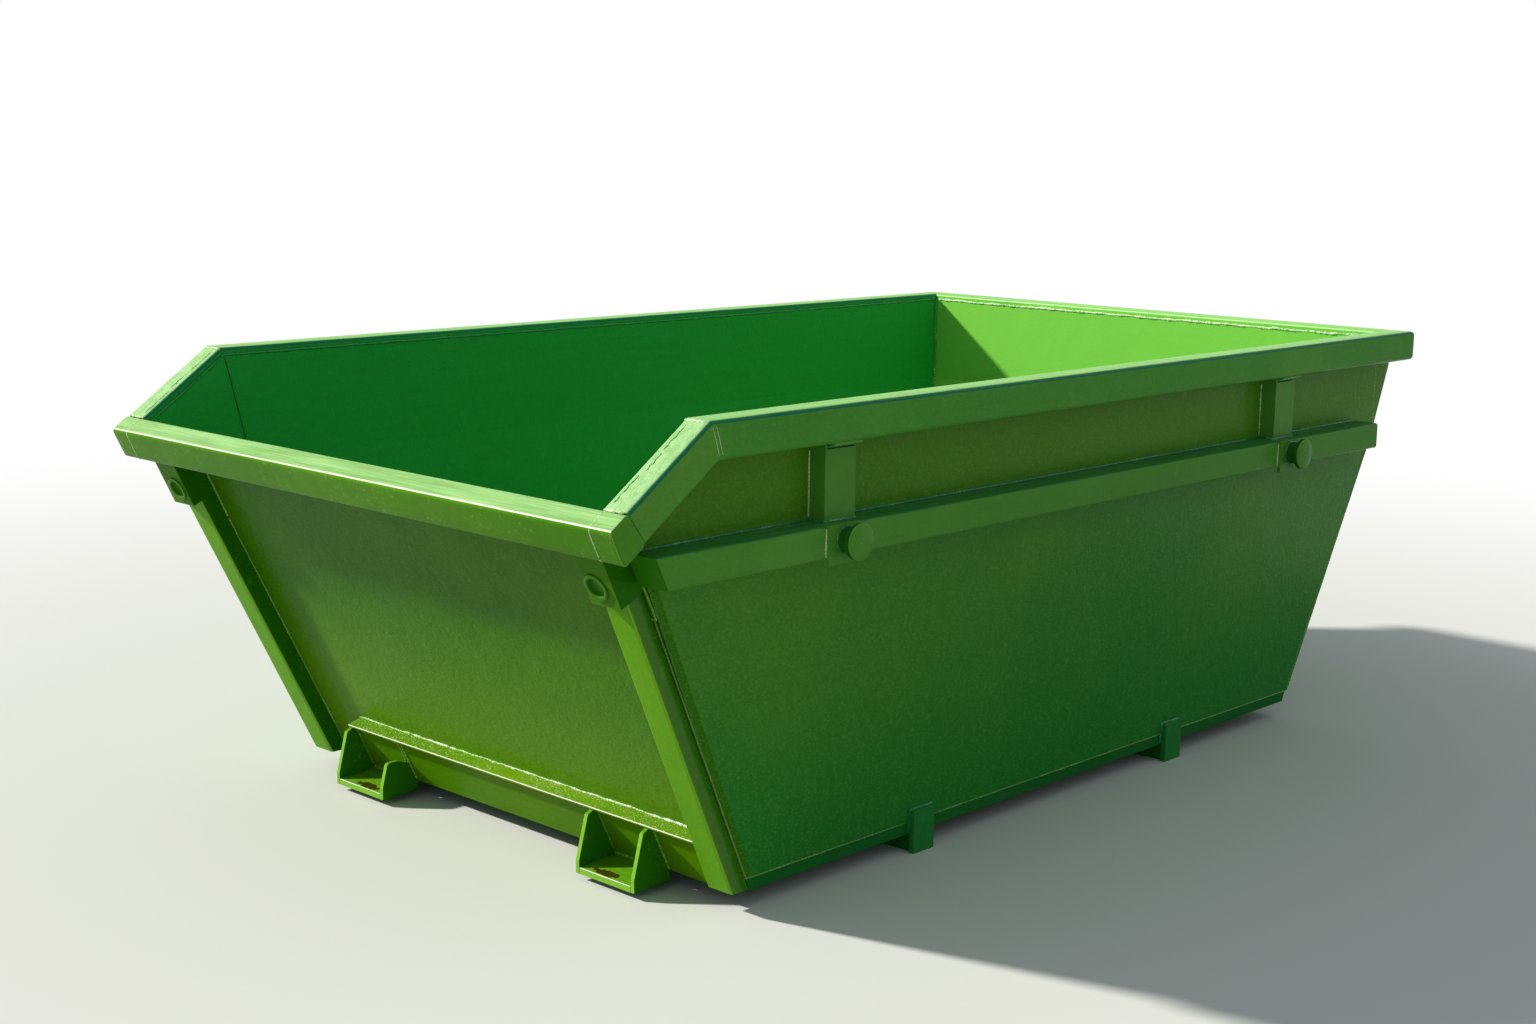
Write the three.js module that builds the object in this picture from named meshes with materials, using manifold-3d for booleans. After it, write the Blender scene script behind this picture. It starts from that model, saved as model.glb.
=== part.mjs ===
// A builders skip for chain lift lorries: an open steel bin with a low pouring lip at one end,
// welded up from sheets, hollow sections and plates, and painted green.
// Millimetres, +Z up. Y runs along the skip with the lip at the negative end, X across it.
// The origin is on the ground under the middle of the skip.

import * as THREE from 'three';
import { mergeVertices } from 'three/addons/utils/BufferGeometryUtils.js';
import Module from 'manifold-3d';

const wasm = await Module();
wasm.setup();

// Overall sizes
const LENGTH = 3326; // front of the lip to the back of the rear rail
const WIDTH = 1900; // across the outer faces of the top rails
const HEIGHT = 1170; // ground to the top of the rails
const LIP_DROP = 199; // from the top of the rails down to the top front edge of the lip
const LIP_RUN = 281; // from that edge, before rounding, back to the bend of the rails
const BODY_BASE = 47; // ground to the lower edges of the walls
const SILL_HEIGHT = 32; // from there up to the underside of the floor sheet
const SIDE_LEAN = 63.7; // how far a side sheet leans in from its bend down to the floor
const FRONT_TILT_DEG = 26; // lean of the front wall from upright
const REAR_TILT_DEG = 22; // lean of the lower rear wall from upright

// Gap left along every weld, and how far a cut runs past the faces it opens
const GAP = 0.3;
const OVERRUN = 1;

// Sheets
const SHEET = 4;
const FLOOR_SHEET = 5;
const SHEET_DROP = 20; // from the top of a rail down to the edge of the sheet lapped inside it

// Top rails, sloping rails and rear rail
const RAIL_WIDTH = 78;
const RAIL_DEPTH = 87;
const RAIL_WALL = 4;
const RAIL_CORNER = 12;

// Lip
const LIP_DEPTH = 60; // of its top face, along the slope
const LIP_END_WIDTH = 66.5; // of the short pieces that close the corners
const LIP_FLANGE_DROP = 55; // from the lip's upper rear edge down to where the front sheet meets it
const WALL_SET_BACK = 97.3; // of the front sheet behind the front of the lip

// Belt rails along the sides
const BELT_DROP = 265; // from the top of the rails down to the top of the belt
const BELT_DEPTH = 75;
const BELT_PROUD = 5; // of its outer face past the top rail's
const BELT_WALL = 5;
const BELT_CORNER = 8;
const BELT_FRONT_STEP = 18; // of the front end ahead of the front wall
const BELT_REAR_SET_BACK = 210; // of the rear end from the back of the skip
const BELT_CAP = 4;
const FOLD_DROP = 39; // from the top of the belt down to where the sheets bend inwards

// Stiffening posts between belt and top rail
const GUSSET_WIDTH = 102;
const GUSSET_DEPTH = 48;
const GUSSET_WALL = 6;
const GUSSET_LEAD = 25; // of the front edge ahead of the lifting pin
const GUSSET_TOP_GAP = 9;
const GUSSET_CAP = 6;
const GUSSET_CAP_FRONT = 15; // set back of the cap from the post's front edge
const GUSSET_CAP_REAR = 6; // overhang of the cap past the post's rear edge
const GUSSET_CAP_REACH = 15; // overhang of the cap past the post's face

// Lifting pins and their plates
const PIN_FRONT_SET_BACK = 688; // of the front pins from the front of the lip
const PIN_REAR_SET_BACK = 729; // of the rear pins from the back of the skip
const PIN_DROP = 35; // from the top of the belt down to the pin's axis
const PIN_HEAD_RADIUS = 42.5;
const PIN_HEAD = 12;
const PIN_RADIUS = 31;
const PIN_NECK = 31; // of shaft between plate and head
const PIN_SPIGOT_RADIUS = 20;
const PIN_EDGE = 1.5;
const PIN_CENTRE_RADIUS = 3;
const PIN_CENTRE_DEPTH = 2.5;
const PLATE = 10;
const PLATE_FRONT = 57; // from the pin to the plate's front edge
const PLATE_REAR = 46;
const PLATE_RISE = 37; // from the pin to the plate's upper edge
const PLATE_DROP = 53;

// Front corner posts
const POST_WIDTH = 79;
const POST_DEPTH = 49;
const POST_WALL = 4;
const POST_CORNER = 6;
const POST_TOP_INSET = 97.1; // of the post's inner edge from the side sheet, at the bracket's foot
const POST_FOOT_INSET = 74.5; // the same at the lower edge of the walls
const POST_TRIM = 5; // from the wall's lower edge up to the post's end

// Front brackets and their sockets
const BRACKET_INSET = 185; // of the inner edge from the rail's outer face
const BRACKET_WIDTH = 90;
const BRACKET_DEPTH = 74;
const BRACKET_PLATE = 8;
const BRACKET_DROP = 191; // from the lip's top front edge down to the bracket's lower front edge
const SOCKET_RISE = 44; // of the socket's centre above that edge
const SOCKET_INSET = 38; // of the centre from the bracket's inner edge
const SOCKET_RING_RADIUS = 33;
const SOCKET_BORE_RADIUS = 23.5;
const SOCKET_SPIGOT_RADIUS = 28;
const SOCKET_PROUD = 4;
const SOCKET_DEPTH = 10;
const SOCKET_BACK = 5;

// Tipping bar and the beam under it
const BAR_SET_BACK = 55.2; // of the bar's front edge behind the front of the lip
const BAR_HEIGHT = 171; // of that edge above the ground
const BAR_PLATE = 8;
const BAR_RISE_DEG = 18; // slope of the bar's upper face
const BAR_OVERHANG = 3; // of the far end past the pocket
const BEAM_SET_BACK = 68; // of the beam's face behind the front of the lip
const BEAM_PLATE = 8;

// Hook pockets under the tipping bar
const POCKET_INSET = 149; // of the outer plate's outer face from the post's foot
const POCKET_WIDTH = 203; // over both plates
const POCKET_PLATE = 12;
const POCKET_LEAD = 39.5; // of the foot of the mouth ahead of the tipping bar's edge
const POCKET_TOP_LEAD = 11.5; // of the top of the mouth ahead of that edge
const POCKET_TOP = 156;
const POCKET_CHIN = 49;
const POCKET_FLOOR = 32; // height of the bottom plate's upper face
const POCKET_FOOT = 16.5;
const POCKET_REAR_FOOT = 23;
const CUT_HEIGHT = 113; // of the far inner plate, which is cut short
const CUT_SET_BACK = 12.5; // of the cut's flat part behind the tipping bar's edge
const CUT_RADIUS = 12;

// Foot bearers and the plates on their ends
const FOOT_FRONT_SET_BACK = 1161; // from the front of the lip
const FOOT_REAR_SET_BACK = 1050; // from the back of the skip
const FOOT_WIDTH = 78;
const FOOT_PLATE = 15;
const FOOT_RISE = 63; // of the plate above the lower edges of the walls
const BEARER_WIDTH = 62;
const BEARER_WALL = 6;

// Sills under the floor sheet
const SILL_WIDTH = 45;
const SILL_WALL = 5;

// Facets
const CORNER_STEPS = 4;
const ROUND_STEPS = 40;
const HOLE_STEPS = 10; // in each quarter
const ARC_STEPS = 5;

const X = new THREE.Vector3(1, 0, 0);
const Y = new THREE.Vector3(0, 1, 0);
const Z = new THREE.Vector3(0, 0, 1);
const SIDES = { near: 1, far: -1 };

const skip = new THREE.Group();

// Paints
const green = (color, roughness) => new THREE.MeshStandardMaterial({ color, roughness, metalness: 0 });
const PAINT = {
  sheet: green(0x2f7d2a, 0.42),
  rail: green(0x3c8a34, 0.38),
  fitting: green(0x2f7a2e, 0.36),
  plate: green(0x4f9a24, 0.4),
};

// A frame holds an origin and the directions u and v of a section, which runs along w = u x v.
function makeFrame(origin, u, v) {
  return { origin, u, v, w: new THREE.Vector3().crossVectors(u, v) };
}

function pointIn({ origin, u: uWay, v: vWay, w: wWay }, u, v, w) {
  return origin.clone().addScaledVector(uWay, u).addScaledVector(vWay, v).addScaledVector(wWay, w);
}

// How far along w the line through (u, v) meets a plane.
function reach(frame, plane, u, v) {
  return -plane.distanceToPoint(pointIn(frame, u, v, 0)) / plane.normal.dot(frame.w);
}

function planeThrough(normal, point) {
  return new THREE.Plane().setFromNormalAndCoplanarPoint(normal, point);
}

// The same plane moved by a distance along its normal.
function shifted(plane, distance) {
  return new THREE.Plane(plane.normal.clone(), plane.constant - distance);
}

// Where two planes that run across the skip meet, in Y and Z.
function crossing(a, b) {
  const det = a.normal.y * b.normal.z - a.normal.z * b.normal.y;
  return [(-a.constant * b.normal.z + b.constant * a.normal.z) / det,
    (-a.normal.y * b.constant + b.normal.y * a.constant) / det];
}

const toVectors = (outline) => outline.map(([u, v]) => new THREE.Vector2(u, v));
const isClockwise = (outline) => THREE.ShapeUtils.isClockWise(toVectors(outline));
const anticlockwise = (outline) => (isClockwise(outline) ? [...outline].reverse() : outline);

// A rectangle with round corners, given by its low and high corners.
function roundedBox([u0, v0], [u1, v1], radius) {
  const centres = [[u1 - radius, v1 - radius], [u0 + radius, v1 - radius], [u0 + radius, v0 + radius],
    [u1 - radius, v0 + radius]];
  return centres.flatMap(([u, v], corner) => Array.from({ length: CORNER_STEPS + 1 }, (_, i) => {
    const angle = (corner + i / CORNER_STEPS) * Math.PI / 2;
    return [u + radius * Math.cos(angle), v + radius * Math.sin(angle)];
  }));
}

// Outside and bore of a square tube, given by the low and high corners of its outside.
function tubeSection([u0, v0], [u1, v1], wall, radius) {
  return {
    section: roundedBox([u0, v0], [u1, v1], radius),
    bore: roundedBox([u0 + wall, v0 + wall], [u1 - wall, v1 - wall], radius - wall),
  };
}

// An outline whose corners are rounded, or moved inwards by inset and then rounded.
function roundedOutline(corners, inset, radius) {
  const outline = toVectors(anticlockwise(corners));
  const count = outline.length;
  return outline.flatMap((corner, i) => {
    const back = outline[(i + count - 1) % count].clone().sub(corner).normalize();
    const ahead = outline[(i + 1) % count].clone().sub(corner).normalize();
    const half = Math.acos(back.dot(ahead)) / 2;
    const inwards = back.clone().add(ahead).normalize();
    const centre = corner.clone().addScaledVector(inwards, (inset + radius) / Math.sin(half));
    const middle = Math.atan2(-inwards.y, -inwards.x);
    return Array.from({ length: CORNER_STEPS + 1 }, (_, k) => {
      const angle = middle + (k / CORNER_STEPS - 1 / 2) * (Math.PI - 2 * half);
      return [centre.x + radius * Math.cos(angle), centre.y + radius * Math.sin(angle)];
    });
  });
}

function toGeometry(vertices, triangles) {
  const geometry = new THREE.BufferGeometry();
  geometry.setAttribute('position', new THREE.Float32BufferAttribute(vertices.flat(), 3));
  geometry.setIndex(triangles.flat());
  return geometry;
}

const triangulate = (outline) => THREE.ShapeUtils.triangulateShape(toVectors(outline), []);

// Side faces between two rings of the same count, outwards for an anticlockwise ring.
function band(count, first, second, flip) {
  return Array.from({ length: count }, (_, i) => {
    const next = (i + 1) % count;
    const quad = [first + i, first + next, second + next, second + i];
    const [a, b, c, d] = flip ? quad.reverse() : quad;
    return [a, b, c, a, c, d];
  });
}

// The points of an outline where its lines along the run meet a plane.
const ringOn = (frame, outline, plane) => outline.map(([u, v]) => [u, v, reach(frame, plane, u, v)]);

// Faces that close a run at both ends.
function endCaps(outline) {
  const far = outline.length;
  return triangulate(outline).flatMap(([a, b, c]) => [[c, b, a], [a + far, b + far, c + far]]);
}

// A solid section that runs from one plane to another.
function solidRun(frame, section, from, to) {
  const outline = anticlockwise(section);
  const count = outline.length;
  const ends = [from, to].map((plane) => ringOn(frame, outline, plane));
  return toGeometry(ends.flat(), [...band(count, 0, count, false), ...endCaps(outline)]);
}

// A hollow section, open at both ends. Its bore has as many points as its outside.
function hollowRun(frame, section, bore, from, to) {
  const count = section.length;
  const ring = (outline, plane) => ringOn(frame, outline, plane);
  const [outer, inner] = [anticlockwise(section), anticlockwise(bore)];
  const vertices = [...ring(outer, from), ...ring(outer, to), ...ring(inner, from), ...ring(inner, to)];
  const [outerTo, innerFrom, innerTo] = [count, 2 * count, 3 * count];
  return toGeometry(vertices, [
    ...band(count, 0, outerTo, false),
    ...band(count, innerFrom, innerTo, true),
    ...band(count, 0, innerFrom, true),
    ...band(count, outerTo, innerTo, false),
  ]);
}

const turnedOver = (triangles) => triangles.map((corners) => [...corners].reverse());

// A hollow section closed at its far end by a floor.
function cupRun(frame, section, bore, from, floor, to) {
  const count = section.length;
  const ring = (outline, plane) => ringOn(frame, outline, plane);
  const [outer, inner] = [anticlockwise(section), anticlockwise(bore)];
  const vertices = [
    ...ring(outer, from), ...ring(outer, to), ...ring(inner, from), ...ring(inner, floor),
  ];
  const [outerTo, innerFrom, innerFloor] = [count, 2 * count, 3 * count];
  const lid = (outline, start) => triangulate(outline).map((corner) => corner.map((i) => i + start));
  return toGeometry(vertices, [
    ...band(count, 0, outerTo, false),
    ...band(count, innerFrom, innerFloor, true),
    ...band(count, 0, innerFrom, true),
    ...lid(outer, outerTo),
    ...turnedOver(lid(inner, innerFloor)),
  ]);
}

function addMesh(name, geometry, material, frame) {
  geometry.computeVertexNormals();
  const mesh = new THREE.Mesh(geometry, material);
  mesh.name = name;
  mesh.position.copy(frame.origin);
  mesh.quaternion.setFromRotationMatrix(new THREE.Matrix4().makeBasis(frame.u, frame.v, frame.w));
  skip.add(mesh);
}

function toSolid(geometry) {
  const bare = geometry.clone();
  bare.deleteAttribute('normal');
  bare.deleteAttribute('uv');
  const merged = mergeVertices(bare);
  return new wasm.Manifold(new wasm.Mesh({
    numProp: 3,
    vertProperties: new Float32Array(merged.attributes.position.array),
    triVerts: new Uint32Array(merged.index.array),
  }));
}

function fromSolid(solid) {
  const { vertProperties, triVerts } = solid.getMesh();
  const geometry = new THREE.BufferGeometry();
  geometry.setAttribute('position', new THREE.BufferAttribute(vertProperties, 3));
  geometry.setIndex(new THREE.BufferAttribute(triVerts, 1));
  return geometry;
}

// Places that follow from the sizes above
const halfWidth = WIDTH / 2;
const halfLength = LENGTH / 2;
const lipHeight = HEIGHT - LIP_DROP;
const beltTop = HEIGHT - BELT_DROP;
const beltReach = halfWidth + BELT_PROUD;
const foldHeight = beltTop - FOLD_DROP;
const floorHeight = BODY_BASE + SILL_HEIGHT;
const pinHeight = beltTop - PIN_DROP;
const pinPlaces = { front: PIN_FRONT_SET_BACK - halfLength, rear: halfLength - PIN_REAR_SET_BACK };
const footPlaces = { front: FOOT_FRONT_SET_BACK - halfLength, rear: halfLength - FOOT_REAR_SET_BACK };
const footTop = BODY_BASE + FOOT_RISE;
const bracketInner = halfWidth - BRACKET_INSET;
const bracketFoot = lipHeight - BRACKET_DROP;

// Main planes. The front direction points from the lip back into the skip, square to the front wall.
const frontTilt = THREE.MathUtils.degToRad(FRONT_TILT_DEG);
const rearTilt = THREE.MathUtils.degToRad(REAR_TILT_DEG);
const slope = Math.atan2(LIP_DROP, LIP_RUN);
const slopeLength = Math.hypot(LIP_DROP, LIP_RUN);
const railInner = halfWidth - RAIL_WIDTH;
const railBottom = HEIGHT - RAIL_DEPTH;
// The round front edge of the lip stands back from the corner of its faces by this much.
const noseTrim = RAIL_CORNER
  * ((Math.sin(frontTilt) + Math.cos(slope)) / Math.cos(slope - frontTilt) - 1);
const lipNose = -halfLength - noseTrim;
const bend = new THREE.Vector3(0, lipNose + LIP_RUN, HEIGHT);

const frontDirection = new THREE.Vector3(0, Math.cos(frontTilt), Math.sin(frontTilt));
const rearDirection = new THREE.Vector3(0, -Math.cos(rearTilt), Math.sin(rearTilt));
const lipFront = planeThrough(frontDirection, new THREE.Vector3(0, lipNose, lipHeight));
const frontOuter = shifted(lipFront, WALL_SET_BACK);
const frontInner = shifted(frontOuter, SHEET);
const rearUpperOuter = halfLength - RAIL_WIDTH - GAP;
const rearOuter = planeThrough(rearDirection, new THREE.Vector3(0, rearUpperOuter, foldHeight));
const rearInner = shifted(rearOuter, SHEET);

// Y of a plane at a height.
const yOn = (plane, z) => (-plane.constant - plane.normal.z * z) / plane.normal.y;
const levelPlane = (z) => new THREE.Plane(Z.clone(), -z);
const crossPlane = (x) => new THREE.Plane(X.clone(), -x);
const lengthPlane = (y) => new THREE.Plane(Y.clone(), -y);

// Outer face of a side sheet at a height, and its inner face.
const sheetOuter = railInner - GAP;
const lean = SIDE_LEAN / (foldHeight - floorHeight);
const sideOuter = (z) => sheetOuter - Math.max(foldHeight - z, 0) * lean;
const sideInner = (z) => sideOuter(z) - SHEET;

// Frames of sections that run across, along and up the skip.
const across = makeFrame(new THREE.Vector3(), Y, Z);
const along = makeFrame(new THREE.Vector3(), Z, X);
const upright = makeFrame(new THREE.Vector3(), X, Y);

// The slope's own frame starts at the bend: u across, v square to the slope, w down along it.
const slopeUp = new THREE.Vector3(0, -Math.sin(slope), Math.cos(slope));
const onSlope = makeFrame(bend, X, slopeUp);
const slopeDown = onSlope.w;
const onSlopeYZ = (v, w) => {
  const point = pointIn(onSlope, 0, v, w);
  return [point.y, point.z];
};

// Just under the sloping rails and the lip.
const lipUnder = planeThrough(slopeUp, pointIn(onSlope, 0, -RAIL_DEPTH - GAP, 0));

// Corners of the lip's section: top front, top rear, bottom rear, bottom front.
const lipRearReach = slopeLength - LIP_DEPTH;
const lipRear = planeThrough(slopeDown, pointIn(onSlope, 0, 0, lipRearReach));
const lipCorners = [
  onSlopeYZ(0, reach(onSlope, lipFront, 0, 0)),
  onSlopeYZ(0, lipRearReach),
  onSlopeYZ(-RAIL_DEPTH, lipRearReach),
  onSlopeYZ(-RAIL_DEPTH, reach(onSlope, lipFront, 0, -RAIL_DEPTH)),
];

// Mirrors a section's across coordinate for the far side.
const onSide = (side, outline) => outline.map(([x, other]) => [side * x, other]);
const swapped = (outline) => outline.map(([a, b]) => [b, a]);

// A range of X on one side, lowest first.
const rangeOn = (side, inner, outer) => [inner, outer].map((x) => side * x).sort((a, b) => a - b);

function railSection(side, low, high) {
  const [x0, x1] = rangeOn(side, railInner, halfWidth);
  return tubeSection([x0, low], [x1, high], RAIL_WALL, RAIL_CORNER);
}

// The plane that halves the bend, and the one that halves a rear corner.
const bendNormal = new THREE.Vector3(0, Math.cos(slope / 2), Math.sin(slope / 2));
const bendMitre = planeThrough(bendNormal, bend);

function rearMitre(side) {
  const normal = new THREE.Vector3(-side, 1, 0).normalize();
  return planeThrough(normal, new THREE.Vector3(side * halfWidth, halfLength, 0));
}

function addTopRails(name, side) {
  const { section, bore } = railSection(side, railBottom, HEIGHT);
  const [from, to] = [shifted(bendMitre, GAP / 2), shifted(rearMitre(side), -GAP / 2)];
  const level = hollowRun(along, swapped(section), swapped(bore), from, to);
  addMesh(`top_rail_${name}`, level, PAINT.rail, along);

  const sloped = railSection(side, -RAIL_DEPTH, 0);
  const start = shifted(bendMitre, -GAP / 2);
  const run = hollowRun(onSlope, sloped.section, sloped.bore, start, shifted(lipRear, -GAP));
  addMesh(`sloping_rail_${name}`, run, PAINT.rail, onSlope);
}

function addRearRail() {
  const [y0, y1] = [halfLength - RAIL_WIDTH, halfLength];
  const { section, bore } = tubeSection([y0, railBottom], [y1, HEIGHT], RAIL_WALL, RAIL_CORNER);
  const [from, to] = [shifted(rearMitre(-1), GAP / 2), shifted(rearMitre(1), GAP / 2)];
  addMesh('rear_rail', hollowRun(across, section, bore, from, to), PAINT.rail, across);
}

function addLip() {
  const section = roundedOutline(lipCorners, 0, RAIL_CORNER);
  const bore = roundedOutline(lipCorners, RAIL_WALL, RAIL_CORNER - RAIL_WALL);
  const end = halfWidth - LIP_END_WIDTH;
  const tube = hollowRun(across, section, bore, crossPlane(-end), crossPlane(end));
  addMesh('lip_tube', tube, PAINT.rail, across);
  for (const [name, side] of Object.entries(SIDES)) {
    const frame = side > 0 ? across : makeFrame(new THREE.Vector3(), Z, Y);
    const turn = (outline) => (side > 0 ? outline : swapped(outline));
    const planes = [end + GAP, halfWidth - RAIL_WALL, halfWidth].map((x) => crossPlane(side * x));
    addMesh(`lip_end_${name}`, cupRun(frame, turn(section), turn(bore), ...planes), PAINT.rail, frame);
  }
}

// A sheet bent once along a level line: upright above it and leaning in below it.
function bentSheet(side, outline, thickness) {
  const ring = anticlockwise(outline);
  const count = ring.length;
  const face = (inset) => ring.map(([y, z]) => [side * (sideOuter(z) - inset), y, z]);
  const part = (keep) => {
    const picked = ring.map((point, i) => i).filter((i) => keep(ring[i][1]));
    return triangulate(picked.map((i) => ring[i])).map((corner) => corner.map((i) => picked[i]));
  };
  const outer = [...part((z) => z >= foldHeight), ...part((z) => z <= foldHeight)];
  const inner = turnedOver(outer).map((corners) => corners.map((i) => i + count));
  const faces = [...outer, ...inner];
  const edges = band(count, count, 0, side < 0);
  const outwards = side > 0 ? faces : turnedOver(faces);
  return toGeometry([...face(0), ...face(thickness)], [...edges, ...outwards]);
}

function sidePanelOutline() {
  const behindLip = lipRearReach - GAP;
  const topEdge = HEIGHT - SHEET_DROP;
  const bendShift = SHEET_DROP * Math.tan(slope / 2);
  return [
    [yOn(frontOuter, floorHeight + GAP), floorHeight + GAP],
    [yOn(rearOuter, floorHeight + GAP), floorHeight + GAP],
    [yOn(rearOuter, foldHeight), foldHeight],
    crossing(rearOuter, lengthPlane(halfLength)),
    [halfLength, railBottom - GAP],
    [rearUpperOuter, railBottom - GAP],
    [rearUpperOuter, topEdge],
    [bend.y + bendShift, topEdge],
    onSlopeYZ(-SHEET_DROP, behindLip),
    onSlopeYZ(-RAIL_DEPTH - GAP, behindLip),
    crossing(frontOuter, lipUnder),
    [yOn(frontOuter, foldHeight), foldHeight],
  ];
}

function addSidePanel(name, side) {
  addMesh(`side_panel_${name}`, bentSheet(side, sidePanelOutline(), SHEET), PAINT.sheet, upright);
}

// A wall sheet as a profile in Y and Z that runs from side to side, with ends that follow the
// side sheets: the profile is cut where they bend, so each end face is flat in two parts.
function wallSheet(profile) {
  const outline = anticlockwise(profile);
  const count = outline.length;
  const edge = (side) => outline.map(([y, z]) => [y, z, side * (sideInner(z) - GAP)]);
  return toGeometry([...edge(-1), ...edge(1)], [...band(count, 0, count, false), ...endCaps(outline)]);
}

function addFrontWall() {
  const meetLip = pointIn(onSlope, 0, -LIP_FLANGE_DROP, lipRearReach - GAP);
  const flange = slopeDown.clone().negate();
  const foldAt = (plane, point) => {
    const steps = -plane.distanceToPoint(point) / plane.normal.dot(flange);
    return point.clone().addScaledVector(flange, steps);
  };
  const lower = meetLip.clone().addScaledVector(slopeUp, -SHEET);
  const [outerFold, innerFold] = [foldAt(frontOuter, lower), foldAt(frontInner, meetLip)];
  const profile = [
    [yOn(frontOuter, BODY_BASE), BODY_BASE],
    [yOn(frontInner, BODY_BASE), BODY_BASE],
    [yOn(frontInner, foldHeight), foldHeight],
    [innerFold.y, innerFold.z],
    [meetLip.y, meetLip.z],
    [lower.y, lower.z],
    [outerFold.y, outerFold.z],
    [yOn(frontOuter, foldHeight), foldHeight],
  ];
  addMesh('front_wall', wallSheet(profile), PAINT.sheet, across);
}

function addRearWall() {
  const inner = rearUpperOuter - SHEET;
  const [, innerFoldZ] = crossing(rearInner, lengthPlane(inner));
  const profile = [
    [yOn(rearOuter, BODY_BASE), BODY_BASE],
    [rearUpperOuter, foldHeight],
    [rearUpperOuter, HEIGHT - SHEET_DROP],
    [inner, HEIGHT - SHEET_DROP],
    [inner, innerFoldZ],
    [yOn(rearInner, BODY_BASE), BODY_BASE],
  ];
  addMesh('rear_wall', wallSheet(profile), PAINT.sheet, across);
}

function addFloor() {
  const edge = sideInner(floorHeight) - GAP;
  const low = floorHeight + GAP;
  const outline = [[low, -edge], [low, edge], [low + FLOOR_SHEET, edge], [low + FLOOR_SHEET, -edge]];
  const run = solidRun(along, outline, shifted(frontInner, GAP), shifted(rearInner, GAP));
  addMesh('floor_sheet', run, PAINT.sheet, along);
}

function addSill(name, side) {
  const outer = sideOuter(floorHeight) - SHEET / 2;
  const inner = outer - SILL_WIDTH;
  const channel = [
    [BODY_BASE, outer], [BODY_BASE, inner], [BODY_BASE + SILL_WALL, inner],
    [BODY_BASE + SILL_WALL, outer - SILL_WALL], [floorHeight - SILL_WALL, outer - SILL_WALL],
    [floorHeight - SILL_WALL, inner], [floorHeight, inner], [floorHeight, outer],
  ];
  const outline = swapped(onSide(side, swapped(channel)));
  const run = solidRun(along, outline, shifted(frontInner, GAP), shifted(rearInner, GAP));
  addMesh(`sill_${name}`, run, PAINT.sheet, along);
}

function addBelt(name, side) {
  const [x0, x1] = rangeOn(side, railInner, beltReach);
  const [z0, z1] = [beltTop - BELT_DEPTH, beltTop];
  const tube = tubeSection([z0, x0], [z1, x1], BELT_WALL, BELT_CORNER);
  const front = shifted(frontOuter, -BELT_FRONT_STEP);
  const rear = lengthPlane(halfLength - BELT_REAR_SET_BACK);
  addMesh(`belt_rail_${name}`, hollowRun(along, tube.section, tube.bore, front, rear), PAINT.rail, along);
  const ends = {
    front: [shifted(front, -GAP - BELT_CAP), shifted(front, -GAP)],
    rear: [shifted(rear, GAP), shifted(rear, GAP + BELT_CAP)],
  };
  for (const [end, [from, to]] of Object.entries(ends)) {
    addMesh(`belt_cap_${end}_${name}`, solidRun(along, tube.section, from, to), PAINT.rail, along);
  }
}

function addGusset(name, side, pinY) {
  const [y0, y1] = [pinY - GUSSET_LEAD, pinY - GUSSET_LEAD + GUSSET_WIDTH];
  const outer = railInner + GUSSET_DEPTH;
  const channel = [
    [railInner, y0], [outer, y0], [outer, y1], [railInner, y1], [railInner, y1 - GUSSET_WALL],
    [outer - GUSSET_WALL, y1 - GUSSET_WALL], [outer - GUSSET_WALL, y0 + GUSSET_WALL],
    [railInner, y0 + GUSSET_WALL],
  ];
  const capBottom = railBottom - GAP - GUSSET_CAP;
  const post = solidRun(upright, onSide(side, channel), levelPlane(beltTop + GAP), levelPlane(railBottom - GAP));
  // Only the front flange reaches the rail. The other two walls stop below the cap.
  const [inside, outside] = [railInner - OVERRUN, outer + OVERRUN];
  const [cutFront, cutRear] = [y0 + GUSSET_WALL, y1 + OVERRUN];
  const cut = [[inside, cutFront], [outside, cutFront], [outside, cutRear], [inside, cutRear]];
  const [cutFoot, cutTop] = [levelPlane(capBottom - GUSSET_TOP_GAP), levelPlane(railBottom)];
  const room = solidRun(upright, onSide(side, cut), cutFoot, cutTop);
  const trimmed = fromSolid(toSolid(post).subtract(toSolid(room)));
  addMesh(`gusset_post_${name}`, trimmed, PAINT.fitting, upright);
  const capOuter = outer + GUSSET_CAP_REACH;
  const [capFront, capRear] = [y0 + GUSSET_CAP_FRONT, y1 + GUSSET_CAP_REAR];
  const cap = [[railInner, capFront], [capOuter, capFront], [capOuter, capRear], [railInner, capRear]];
  const [under, over] = [levelPlane(capBottom), levelPlane(railBottom - GAP)];
  const plate = solidRun(upright, onSide(side, cap), under, over);
  addMesh(`gusset_cap_${name}`, plate, PAINT.fitting, upright);
}

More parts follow.
